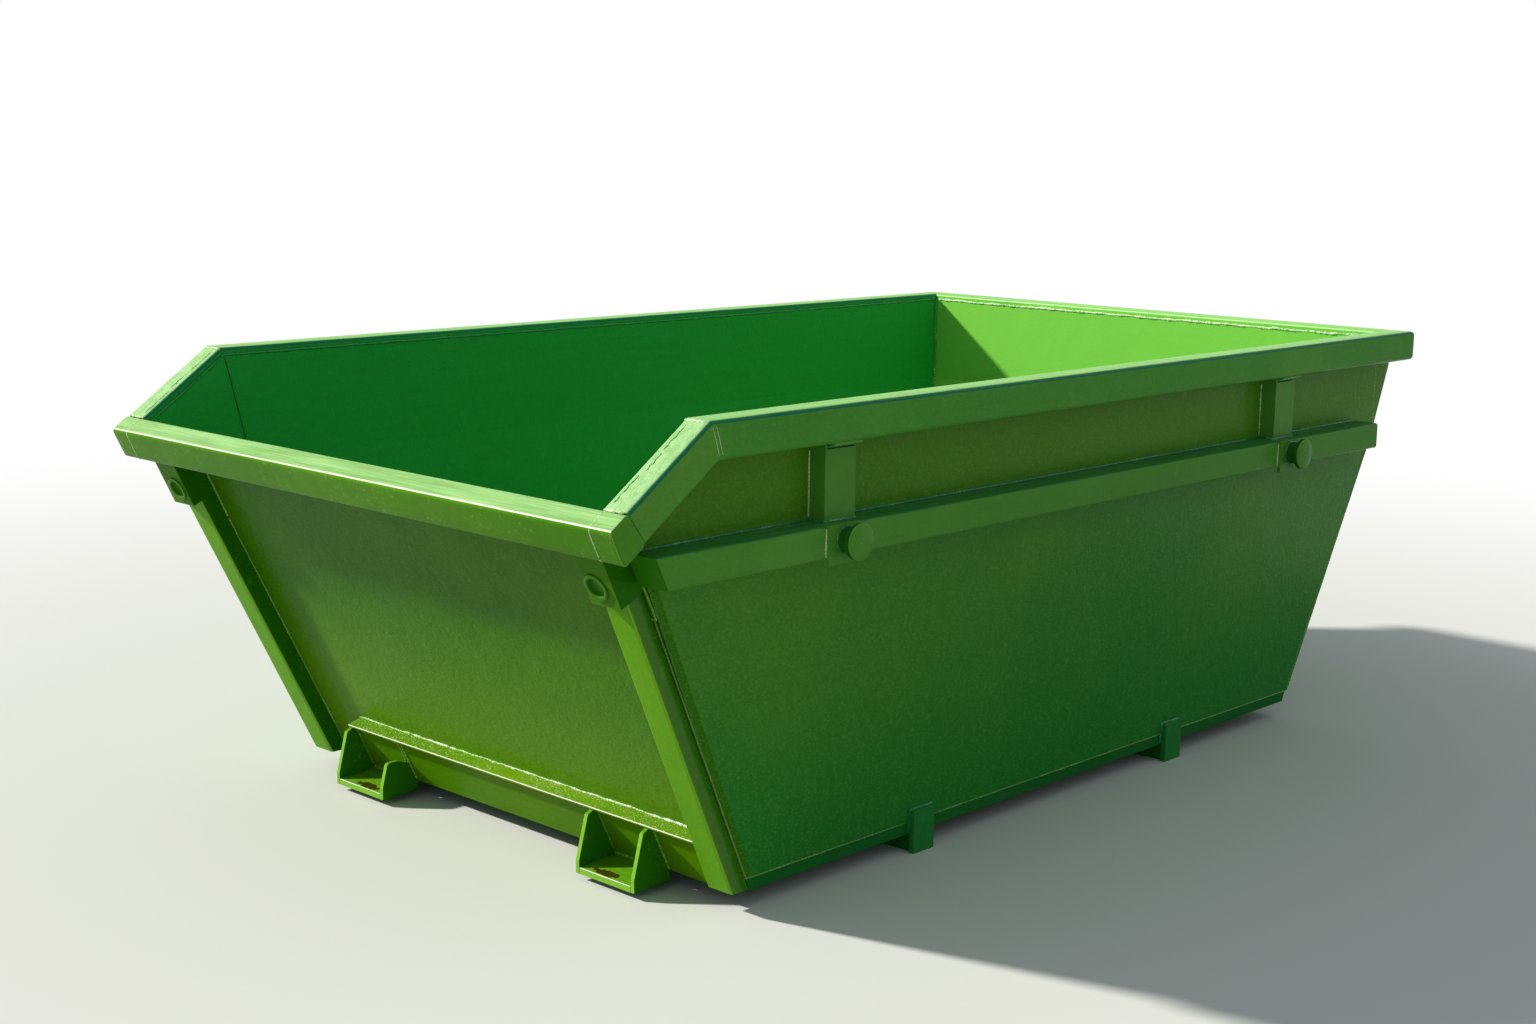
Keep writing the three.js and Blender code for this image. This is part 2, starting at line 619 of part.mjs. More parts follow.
function addPin(name, side, pinY) {
  const plateInner = beltReach + GAP;
  const shape = new THREE.Shape(toVectors([
    [-PLATE_FRONT, -PLATE_DROP], [PLATE_REAR, -PLATE_DROP],
    [PLATE_REAR, PLATE_RISE], [-PLATE_FRONT, PLATE_RISE],
  ]));
  shape.holes.push(new THREE.Path().absarc(0, 0, PIN_SPIGOT_RADIUS + GAP, 0, 2 * Math.PI, true));
  const settings = { depth: PLATE, bevelEnabled: false, curveSegments: HOLE_STEPS };
  const plate = mergeBare(new THREE.ExtrudeGeometry(shape, settings));
  const inside = side > 0 ? plateInner : plateInner + PLATE;
  const plateFrame = makeFrame(new THREE.Vector3(side * inside, pinY, pinHeight), Y, Z);
  addMesh(`lift_plate_${name}`, plate, PAINT.fitting, plateFrame);

  const neck = PLATE + GAP + PIN_NECK;
  const face = neck + PIN_HEAD;
  const profile = [
    [0, 0], [PIN_SPIGOT_RADIUS, 0], [PIN_SPIGOT_RADIUS, PLATE + GAP], [PIN_RADIUS, PLATE + GAP],
    [PIN_RADIUS, neck], [PIN_HEAD_RADIUS - PIN_EDGE, neck], [PIN_HEAD_RADIUS, neck + PIN_EDGE],
    [PIN_HEAD_RADIUS, face - PIN_EDGE], [PIN_HEAD_RADIUS - PIN_EDGE, face],
    [PIN_CENTRE_RADIUS, face], [0, face - PIN_CENTRE_DEPTH],
  ];
  const turned = mergeBare(new THREE.LatheGeometry(toVectors(profile), ROUND_STEPS));
  const [u, v] = side > 0 ? [Y.clone().negate(), X] : [Y, X.clone().negate()];
  const pinFrame = makeFrame(new THREE.Vector3(side * plateInner, pinY, pinHeight), u, v);
  addMesh(`lift_pin_${name}`, turned, PAINT.fitting, pinFrame);
}

function mergeBare(geometry) {
  geometry.deleteAttribute('normal');
  geometry.deleteAttribute('uv');
  return mergeVertices(geometry);
}

// The front posts lean in as they go down. u across the post, v into the wall, w up the post.
const postTopInner = sideOuter(bracketFoot) - POST_TOP_INSET;
const postFootInner = sideOuter(BODY_BASE) - POST_FOOT_INSET;

function postFrame(side) {
  const rise = (bracketFoot - BODY_BASE) / Math.cos(frontTilt);
  const leanAngle = Math.atan2(postTopInner - postFootInner, rise);
  const wallUp = new THREE.Vector3().crossVectors(X, frontDirection);
  const w = wallUp.multiplyScalar(Math.cos(leanAngle)).addScaledVector(X, side * Math.sin(leanAngle));
  const u = new THREE.Vector3().crossVectors(frontDirection, w);
  const front = shifted(frontOuter, -GAP - POST_DEPTH);
  const inner = new THREE.Vector3(side * postTopInner, yOn(front, bracketFoot), bracketFoot);
  return makeFrame(inner, u, frontDirection);
}

const wallFace = shifted(frontOuter, -GAP);
const bracketFront = shifted(wallFace, -BRACKET_DEPTH);
const bracketUnder = planeThrough(
  new THREE.Vector3().crossVectors(X, frontDirection),
  new THREE.Vector3(0, yOn(bracketFront, bracketFoot), bracketFoot),
);

function addCornerPost(name, side) {
  const frame = postFrame(side);
  const [u0, u1] = side > 0 ? [0, POST_WIDTH] : [-POST_WIDTH, 0];
  const { section, bore } = tubeSection([u0, 0], [u1, POST_DEPTH], POST_WALL, POST_CORNER);
  const [from, to] = [levelPlane(BODY_BASE + POST_TRIM), shifted(bracketUnder, -GAP)];
  addMesh(`corner_post_${name}`, hollowRun(frame, section, bore, from, to), PAINT.plate, frame);
}

// A box that hangs from the lip's underside, as far in from its own faces as the inset.
function bracketBox(side, inset) {
  const [front, back] = [shifted(bracketFront, inset), shifted(wallFace, -inset)];
  const [under, over] = [shifted(bracketUnder, inset), shifted(lipUnder, -inset)];
  const outline = [
    crossing(front, under), crossing(back, under), crossing(back, over), crossing(front, over),
  ];
  const ends = rangeOn(side, bracketInner + inset, bracketInner + BRACKET_WIDTH - inset);
  return toSolid(solidRun(across, outline, ...ends.map(crossPlane)));
}

function addBracket(name, side) {
  const box = bracketBox(side, 0).subtract(bracketBox(side, BRACKET_PLATE));

  // The drill stands square to the plate. Its axis is put into the frame of the section.
  const socketHeight = bracketFoot + SOCKET_RISE;
  const centre = new THREE.Vector3(side * (bracketInner + SOCKET_INSET), yOn(bracketFront, socketHeight),
    socketHeight);
  const drillRadius = SOCKET_SPIGOT_RADIUS + GAP;
  const drill = new THREE.CylinderGeometry(drillRadius, drillRadius, BRACKET_DEPTH, ROUND_STEPS);
  drill.applyQuaternion(new THREE.Quaternion().setFromUnitVectors(Y, frontDirection));
  drill.translate(centre.x, centre.y, centre.z);
  drill.applyMatrix4(new THREE.Matrix4().makeBasis(across.u, across.v, across.w).invert());
  addMesh(`front_bracket_${name}`, fromSolid(box.subtract(toSolid(drill))), PAINT.fitting, across);
  addSocket(name, centre);
}

// A blind socket whose ring stands on the bracket's front plate.
function addSocket(name, centre) {
  const proud = SOCKET_PROUD + GAP;
  const bottom = proud - SOCKET_DEPTH;
  const profile = [
    [0, bottom - SOCKET_BACK], [SOCKET_SPIGOT_RADIUS, bottom - SOCKET_BACK], [SOCKET_SPIGOT_RADIUS, GAP],
    [SOCKET_RING_RADIUS, GAP], [SOCKET_RING_RADIUS, proud], [SOCKET_BORE_RADIUS, proud],
    [SOCKET_BORE_RADIUS, bottom], [0, bottom],
  ];
  const turned = mergeBare(new THREE.LatheGeometry(toVectors(profile), ROUND_STEPS));
  const socketFrame = makeFrame(centre, X, frontDirection.clone().negate());
  addMesh(`bracket_socket_${name}`, turned, PAINT.fitting, socketFrame);
}

// Tipping bar: a sloping plate whose front edge overhangs the beam below it.
const barPlane = shifted(lipFront, BAR_SET_BACK);
const barRise = THREE.MathUtils.degToRad(BAR_RISE_DEG);
const barUp = new THREE.Vector3(0, -Math.sin(barRise), Math.cos(barRise));
const barEdge = new THREE.Vector3(0, yOn(barPlane, BAR_HEIGHT), BAR_HEIGHT);
const barTop = planeThrough(barUp, barEdge);
const barUnder = shifted(barTop, -BAR_PLATE);
const beamFront = shifted(lipFront, BEAM_SET_BACK);
const underBar = shifted(barUnder, -GAP);

// Hook pockets stand on the beam's face, each under one end of the bar.
const beamFace = shifted(beamFront, -GAP);
const pocketOuter = postFootInner - POCKET_INSET;
const pocketInner = pocketOuter - POCKET_WIDTH;
const pocketFront = barEdge.y - POCKET_LEAD;
const pocketTopFront = barEdge.y - POCKET_TOP_LEAD;
const pocketRear = yOn(beamFace, BODY_BASE);

function addTippingBar() {
  const post = postFrame(SIDES.near);
  const atPost = planeThrough(post.u, pointIn(post, -GAP, 0, 0));
  const atPocket = crossPlane(-pocketOuter - BAR_OVERHANG);
  const bar = [crossing(barPlane, barTop), crossing(wallFace, barTop), crossing(wallFace, barUnder),
    crossing(barPlane, barUnder)];
  addMesh('tipping_bar', solidRun(across, bar, atPocket, atPost), PAINT.plate, across);

  const base = levelPlane(BODY_BASE);
  const shelf = levelPlane(BODY_BASE + BEAM_PLATE);
  const beamInner = shifted(beamFront, BEAM_PLATE);
  const beam = [crossing(beamFront, base), crossing(wallFace, base), crossing(wallFace, shelf),
    crossing(beamInner, shelf), crossing(beamInner, underBar), crossing(beamFront, underBar)];
  addMesh('front_beam', solidRun(across, beam, atPocket, atPost), PAINT.plate, across);
}

// Side plate of a hook pocket; the rear edge stops at the beam's face.
function pocketOutline() {
  return [
    crossing(beamFace, underBar), crossing(barPlane, underBar), [pocketTopFront, POCKET_TOP],
    [pocketFront, POCKET_CHIN], [pocketFront, POCKET_FOOT], [pocketRear, POCKET_REAR_FOOT],
    [pocketRear, BODY_BASE],
  ];
}

// The far inner plate is cut short, with a round upper front corner.
function cutPocketOutline() {
  const shoulder = CUT_HEIGHT - CUT_RADIUS;
  const frontShare = (shoulder - POCKET_CHIN) / (POCKET_TOP - POCKET_CHIN);
  const cutFront = pocketFront + (pocketTopFront - pocketFront) * frontShare;
  const arc = Array.from({ length: ARC_STEPS + 1 }, (_, i) => {
    const angle = (i / ARC_STEPS) * Math.PI / 2;
    return [cutFront + CUT_RADIUS * (1 - Math.cos(angle)), shoulder + CUT_RADIUS * Math.sin(angle)];
  });
  return [
    ...arc, [barEdge.y + CUT_SET_BACK, CUT_HEIGHT], [yOn(beamFace, shoulder), shoulder],
    [pocketRear, BODY_BASE], [pocketRear, POCKET_REAR_FOOT], [pocketFront, POCKET_FOOT],
    [pocketFront, POCKET_CHIN],
  ];
}

function addPocket(name, side) {
  const plates = {
    outer: [pocketOuter - POCKET_PLATE, pocketOuter],
    inner: [pocketInner, pocketInner + POCKET_PLATE],
  };
  for (const [place, faces] of Object.entries(plates)) {
    const isCut = side < 0 && place === 'inner';
    const [from, to] = rangeOn(side, ...faces).map(crossPlane);
    const outline = isCut ? cutPocketOutline() : pocketOutline();
    addMesh(`pocket_plate_${place}_${name}`, solidRun(across, outline, from, to), PAINT.plate, across);
  }
  const footRise = POCKET_REAR_FOOT - POCKET_FOOT;
  const bottom = [[pocketFront, POCKET_FOOT], [pocketRear, POCKET_REAR_FOOT],
    [pocketRear, POCKET_FLOOR + footRise], [pocketFront, POCKET_FLOOR]];
  const inset = POCKET_PLATE + GAP;
  const [from, to] = rangeOn(side, pocketInner + inset, pocketOuter - inset).map(crossPlane);
  addMesh(`pocket_floor_${name}`, solidRun(across, bottom, from, to), PAINT.plate, across);
}

// A foot bearer runs across under the sills and carries an upright plate on each end.
function addFoot(name, footY) {
  const plateInner = sideOuter(footTop) + GAP;
  const [y0, y1] = [footY - BEARER_WIDTH / 2, footY + BEARER_WIDTH / 2];
  const top = BODY_BASE - GAP;
  const [inside0, inside1, underside] = [y0 + BEARER_WALL, y1 - BEARER_WALL, top - BEARER_WALL];
  const channel = [
    [y0, 0], [inside0, 0], [inside0, underside], [inside1, underside],
    [inside1, 0], [y1, 0], [y1, top], [y0, top],
  ];
  const end = plateInner - GAP;
  const bearer = solidRun(across, channel, crossPlane(-end), crossPlane(end));
  addMesh(`foot_bearer_${name}`, bearer, PAINT.sheet, across);
  for (const [sideName, side] of Object.entries(SIDES)) {
    const [rear, front] = [footY + FOOT_WIDTH / 2, footY - FOOT_WIDTH / 2];
    const plate = [[front, 0], [rear, 0], [rear, footTop], [front, footTop]];
    const [from, to] = rangeOn(side, plateInner, plateInner + FOOT_PLATE).map(crossPlane);
    addMesh(`foot_plate_${name}_${sideName}`, solidRun(across, plate, from, to), PAINT.fitting, across);
  }
}

addFloor();
addFrontWall();
addRearWall();
addRearRail();
addLip();
addTippingBar();
for (const [end, footY] of Object.entries(footPlaces)) addFoot(end, footY);
for (const [name, side] of Object.entries(SIDES)) {
  addSidePanel(name, side);
  addSill(name, side);
  addTopRails(name, side);
  addBelt(name, side);
  addCornerPost(name, side);
  addBracket(name, side);
  addPocket(name, side);
  for (const [end, pinY] of Object.entries(pinPlaces)) {
    addGusset(`${end}_${name}`, side, pinY);
    addPin(`${end}_${name}`, side, pinY);
  }
}

export default skip;
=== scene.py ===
"""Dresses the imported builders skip: green paint, rolled sections, weld beads, floor, light, camera.

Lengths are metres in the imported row's own frame: Y runs from the pouring lip to the rear rail,
X across the skip with the near side positive, and Z up from the ground.
"""

from __future__ import annotations

import logging
import math
from dataclasses import dataclass, field
from enum import Enum
from typing import Any, Iterable, Sequence

import bpy
import numpy as np
from mathutils import Matrix, Vector

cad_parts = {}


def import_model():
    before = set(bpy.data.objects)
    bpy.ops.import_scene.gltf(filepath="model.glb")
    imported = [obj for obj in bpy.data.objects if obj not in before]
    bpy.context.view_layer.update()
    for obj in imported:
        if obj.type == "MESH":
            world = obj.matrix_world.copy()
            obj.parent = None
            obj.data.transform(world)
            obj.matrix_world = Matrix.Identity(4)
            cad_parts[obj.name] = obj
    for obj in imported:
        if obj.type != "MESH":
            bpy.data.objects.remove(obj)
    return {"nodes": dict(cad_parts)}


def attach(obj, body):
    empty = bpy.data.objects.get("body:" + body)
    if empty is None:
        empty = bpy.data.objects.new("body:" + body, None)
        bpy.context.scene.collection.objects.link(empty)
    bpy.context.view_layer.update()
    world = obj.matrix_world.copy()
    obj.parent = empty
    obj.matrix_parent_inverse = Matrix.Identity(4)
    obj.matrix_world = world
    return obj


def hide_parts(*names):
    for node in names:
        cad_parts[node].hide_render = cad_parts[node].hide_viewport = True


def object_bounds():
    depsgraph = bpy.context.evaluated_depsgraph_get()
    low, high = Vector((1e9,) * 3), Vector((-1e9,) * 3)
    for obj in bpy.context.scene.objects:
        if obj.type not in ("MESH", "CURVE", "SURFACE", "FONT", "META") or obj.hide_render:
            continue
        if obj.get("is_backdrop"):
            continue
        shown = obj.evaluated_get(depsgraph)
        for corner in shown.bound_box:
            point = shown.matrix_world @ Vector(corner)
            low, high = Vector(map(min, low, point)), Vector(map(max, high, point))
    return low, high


log = logging.getLogger("skip")

Colour = tuple[float, float, float]
Surface = tuple[np.ndarray, list[list[int]]]

BODY = "root"

BOX_CLEARANCE = 0.00005
MERGE_DISTANCE = 0.00001
LEAST_RADIUS = 0.001
LEAST_ARRIS = math.radians(30.0)
POLE_RADIUS = 0.0001

# How far a bead's middle lies off the faces that it joins, and how far it ends before a corner.
OFF = 0.001
STOP = 0.002

X, Y, Z = np.eye(3)


class Side(Enum):
    """The two long sides. The value is the sign of X there."""

    NEAR = 1.0
    FAR = -1.0

    @property
    def label(self) -> str:
        """The side's name as the CAD nodes spell it."""
        return self.name.lower()


class Slot(Enum):
    """The record's material slots."""

    SHEET = "sheet_paint"
    RAIL = "rail_paint"
    FITTING = "fitting_paint"
    PLATE = "plate_paint"


class Gauge(float, Enum):
    """Radii of the weld beads, and of the fine lines that seams leave in the paint."""

    LINE = 0.0009
    ARRIS = 0.0012
    BUTT = 0.0014
    SCRAPE = 0.0015
    EDGE = 0.0016
    FINE = 0.0021
    THIN = 0.0022
    OUTER = 0.0024
    SEAM = 0.0026
    SHADED = 0.0028
    PLAIN = 0.0030
    LOWER = 0.0032
    FULL = 0.0034
    WIDE = 0.0042
    BEND = 0.0045
    FOOT = 0.0052
    CORNER = 0.0060


def linear(red: float, green: float, blue: float) -> Colour:
    """Turns a colour as a screen shows it, each part 0 to 255, into light values.

    Args:
        red: Red part.
        green: Green part.
        blue: Blue part.

    Returns:
        The three parts as linear values from 0 to 1.
    """
    parts = np.array([red, green, blue], float) / 255.0
    low, high = parts / 12.92, ((parts + 0.055) / 1.055) ** 2.4
    return tuple(float(value) for value in np.where(parts <= 0.04045, low, high))


@dataclass(frozen=True)
class SkipForm:
    """The sizes that the skip's planes follow from."""

    length: float = 3.326
    width: float = 1.9
    height: float = 1.170
    lip_height: float = 0.971
    lip_run: float = 0.281
    floor: float = 0.079
    fold: float = 0.866
    base_width: float = 1.616
    front_tilt: float = math.radians(26.0)
    rear_tilt: float = math.radians(22.0)
    gap: float = 0.0003
    sheet: float = 0.004
    sheet_drop: float = 0.020
    rail_width: float = 0.078
    rail_depth: float = 0.087
    rail_wall: float = 0.004
    rail_corner: float = 0.012
    lip_depth: float = 0.060
    lip_end: float = 0.0665
    wall_set_back: float = 0.0973

    @property
    def slope(self) -> float:
        """Angle by which the front rails fall, in radians."""
        return math.atan2(self.height - self.lip_height, self.lip_run)

    @property
    def slope_length(self) -> float:
        """Length of the sloping top edge from the bend to the front of the lip."""
        return math.hypot(self.height - self.lip_height, self.lip_run)

    @property
    def nose(self) -> float:
        """Y of the sharp corner from which the lip's round front edge is cut."""
        corner = (math.sin(self.front_tilt) + math.cos(self.slope)) / math.cos(self.slope - self.front_tilt)
        return -self.length / 2 - self.rail_corner * (corner - 1)

    @property
    def bend(self) -> np.ndarray:
        """Point of the bend on the rails' upper faces, on the middle plane."""
        return np.array([0.0, self.nose + self.lip_run, self.height])

    @property
    def rail_inner(self) -> float:
        """X of the near rail's inner face."""
        return self.width / 2 - self.rail_width

    def front_y(self, set_back: float, z: float) -> float:
        """Y of the plane that lies set_back behind the lip's front face, at height z."""
        cos, sin = math.cos(self.front_tilt), math.sin(self.front_tilt)
        return (cos * self.nose + sin * self.lip_height + set_back - sin * z) / cos

    def side_x(self, z: float) -> float:
        """X of the near side sheet's outer face at height z.

        Args:
            z: Height above the ground.

        Returns:
            The X.
        """
        outer = self.rail_inner - self.gap
        lean = (outer - self.base_width / 2) / (self.fold - self.floor)
        return outer - max(self.fold - z, 0.0) * lean

    def rear_y(self, z: float) -> float:
        """Y of the rear sheet's outer face at height z."""
        upper = self.length / 2 - self.rail_width - self.gap
        return upper - max(self.fold - z, 0.0) * math.tan(self.rear_tilt)

    def on_slope(self, x: float, rise: float, down: float) -> np.ndarray:
        """A point of the sloping rails: rise square to their upper face, down along it from the bend."""
        cos, sin = math.cos(self.slope), math.sin(self.slope)
        return self.bend + np.array([x, -sin * rise - cos * down, cos * rise - sin * down])


FORM = SkipForm()


def unit(vector: Sequence[float]) -> np.ndarray:
    """The vector scaled to a length of one."""
    array = np.asarray(vector, float)
    return array / np.linalg.norm(array)


def joined(surfaces: Iterable[Surface]) -> Surface:
    """Puts several surfaces into one set of points and faces.

    Args:
        surfaces: Points and faces of each.

    Returns:
        All points, and the faces with their numbers moved on.
    """
    points, faces, count = [], [], 0
    for more_points, more_faces in surfaces:
        points.append(more_points)
        faces.extend([[index + count for index in face] for face in more_faces])
        count += len(more_points)
    return np.concatenate(points), faces


def ring_faces(rows: int, columns: int, first: int = 0) -> np.ndarray:
    """Quads between rows of closed rings.

    The face at row i and column j joins points (i, j), (i, j+1), (i+1, j+1) and (i+1, j), where
    the columns wrap round.

    Args:
        rows: Number of rings.
        columns: Points in each ring.
        first: Number of the first point.

    Returns:
        One row of four point numbers for each face.
    """
    row, column = np.meshgrid(np.arange(rows - 1), np.arange(columns), indexing="ij")
    after = (column + 1) % columns
    quads = [row * columns + column, row * columns + after, (row + 1) * columns + after,
             (row + 1) * columns + column]
    return np.stack(quads, axis=-1).reshape(-1, 4) + first


def smooth_noise(count: int, knot: int, rng: np.random.Generator) -> np.ndarray:
    """Random values from -1 to 1 that change smoothly: knots every few places, joined by cosines.

    Args:
        count: How many values.
        knot: Places from one knot to the next.
        rng: Source of the knots.

    Returns:
        The values.
    """
    place = np.arange(count) / knot
    knots = rng.uniform(-1.0, 1.0, int(place[-1]) + 2)
    low = place.astype(int)
    blend = (1 - np.cos((place - low) * np.pi)) / 2
    return knots[low] * (1 - blend) + knots[low + 1] * blend


def resampled(path: np.ndarray, step: float) -> np.ndarray:
    """Points at equal distances along a path of straight pieces.

    Args:
        path: Corner points, one row each.
        step: Distance wanted between points.

    Returns:
        The points, the two ends included.
    """
    lengths = np.concatenate([[0.0], np.cumsum(np.linalg.norm(np.diff(path, axis=0), axis=1))])
    count = max(int(math.ceil(lengths[-1] / step)) + 1, 6)
    at = np.linspace(0.0, lengths[-1], count)
    return np.stack([np.interp(at, lengths, path[:, axis]) for axis in range(3)], axis=1)


@dataclass(frozen=True)
class Bead:
    """One run of weld: a round bead with the ripples of its pools, carried along a path.

    Ripple and rough are shares of the radius. The pitch is the length of one pool, the step the
    distance between rings, and a knot the number of rings from one value of a noise to the next.
    """

    path: Sequence[Sequence[float]]
    radius: float
    ripple: float = 0.12
    rough: float = 0.10
    pitch: float = 0.010
    step: float = 0.0035
    sides: int = 10
    ripple_knot: int = 12
    rough_knot: int = 3
    sway_knot: int = 9
    taper_rings: float = 2.0
    tip_share: float = 0.02
    least_turn: float = 0.001

    def surface(self, rng: np.random.Generator) -> Surface:
        """Works out the bead.

        A ring stands at each step, square to the path. It is turned by the plane that the path bends
        in or, on a straight one, by the axis most square to it. Its radius is the bead's radius times
        one plus a ripple (a sine of the way along) plus smooth noise, and falls to a point at both
        ends along a quarter circle.

        Args:
            rng: Source of the noise.

        Returns:
            Points and faces of the closed bead.
        """
        centre = resampled(np.asarray(self.path, float), self.step)
        count = len(centre)
        along = np.gradient(centre, axis=0)
        along /= np.linalg.norm(along, axis=1)[:, None]
        turns = np.cross(along[:-1], along[1:])
        sharpest = turns[int(np.argmax(np.linalg.norm(turns, axis=1)))]
        bent = np.linalg.norm(sharpest) > self.least_turn
        helper = unit(sharpest) if bent else np.eye(3)[int(np.argmin(np.abs(along).sum(axis=0)))]
        across = np.cross(along, helper)
        across /= np.linalg.norm(across, axis=1)[:, None]
        up = np.cross(along, across)
        way = np.arange(count) * self.step
        from_end = np.minimum(np.arange(count), np.arange(count)[::-1]) / self.taper_rings
        taper = np.sqrt(1 - (1 - np.clip(from_end, self.tip_share, 1.0)) ** 2)
        pools = 2 * np.pi * way / self.pitch + smooth_noise(count, self.ripple_knot, rng)
        wave = 1 + self.ripple * np.sin(pools)
        wave += self.rough * smooth_noise(count, self.rough_knot, rng)
        shift = self.rough * self.radius * smooth_noise(count, self.sway_knot, rng)
        angle = np.linspace(0.0, 2 * np.pi, self.sides, endpoint=False)
        lumps = self.rough * rng.uniform(-0.5, 0.5, (count, self.sides))
        radius = self.radius * taper[:, None] * (wave[:, None] + lumps)
        spokes = np.cos(angle)[:, None] * across[:, None] + np.sin(angle)[:, None] * up[:, None]
        points = (centre + across * shift[:, None])[:, None] + radius[:, :, None] * spokes
        faces = ring_faces(count, self.sides)[:, ::-1].tolist()
        last = (count - 1) * self.sides
        faces.append(list(range(self.sides)))
        faces.append([last + i for i in reversed(range(self.sides))])
        return points.reshape(-1, 3), faces


def section_outline(corners: Sequence[Sequence[float]], radius: float, inset: float = 0.0,
                    steps: int = 8, flats: int = 3) -> np.ndarray:
    """Outline of a rolled section with round corners.

    Each corner becomes an arc of the radius about the point that lies inset plus radius inside
    both of its faces, and each flat between two arcs gets a few points more.

    Args:
        corners: Corner points of the sharp outline, anticlockwise.
        radius: Radius of the arcs.
        inset: How far the outline lies inside the corners.
        steps: Parts of each arc.
        flats: Parts of each flat.

    Returns:
        The outline's points, anticlockwise.
    """
    outline = np.asarray(corners, float)
    points = []
    for i, corner in enumerate(outline):
        back, ahead = unit(outline[i - 1] - corner), unit(outline[(i + 1) % len(outline)] - corner)
        half = math.acos(float(np.clip(back @ ahead, -1, 1))) / 2
        inwards = unit(back + ahead)
        centre = corner + inwards * (inset + radius) / math.sin(half)
        middle = math.atan2(-inwards[1], -inwards[0])
        angle = middle + (np.arange(steps + 1) / steps - 0.5) * (math.pi - 2 * half)
        points.append(centre + radius * np.stack([np.cos(angle), np.sin(angle)], axis=1))
    rings = []
    for i, arc in enumerate(points):
        following = points[(i + 1) % len(points)][0]
        share = np.arange(1, flats)[:, None] / flats
        rings.extend([arc, arc[-1] * (1 - share) + following * share])
    return np.concatenate(rings)


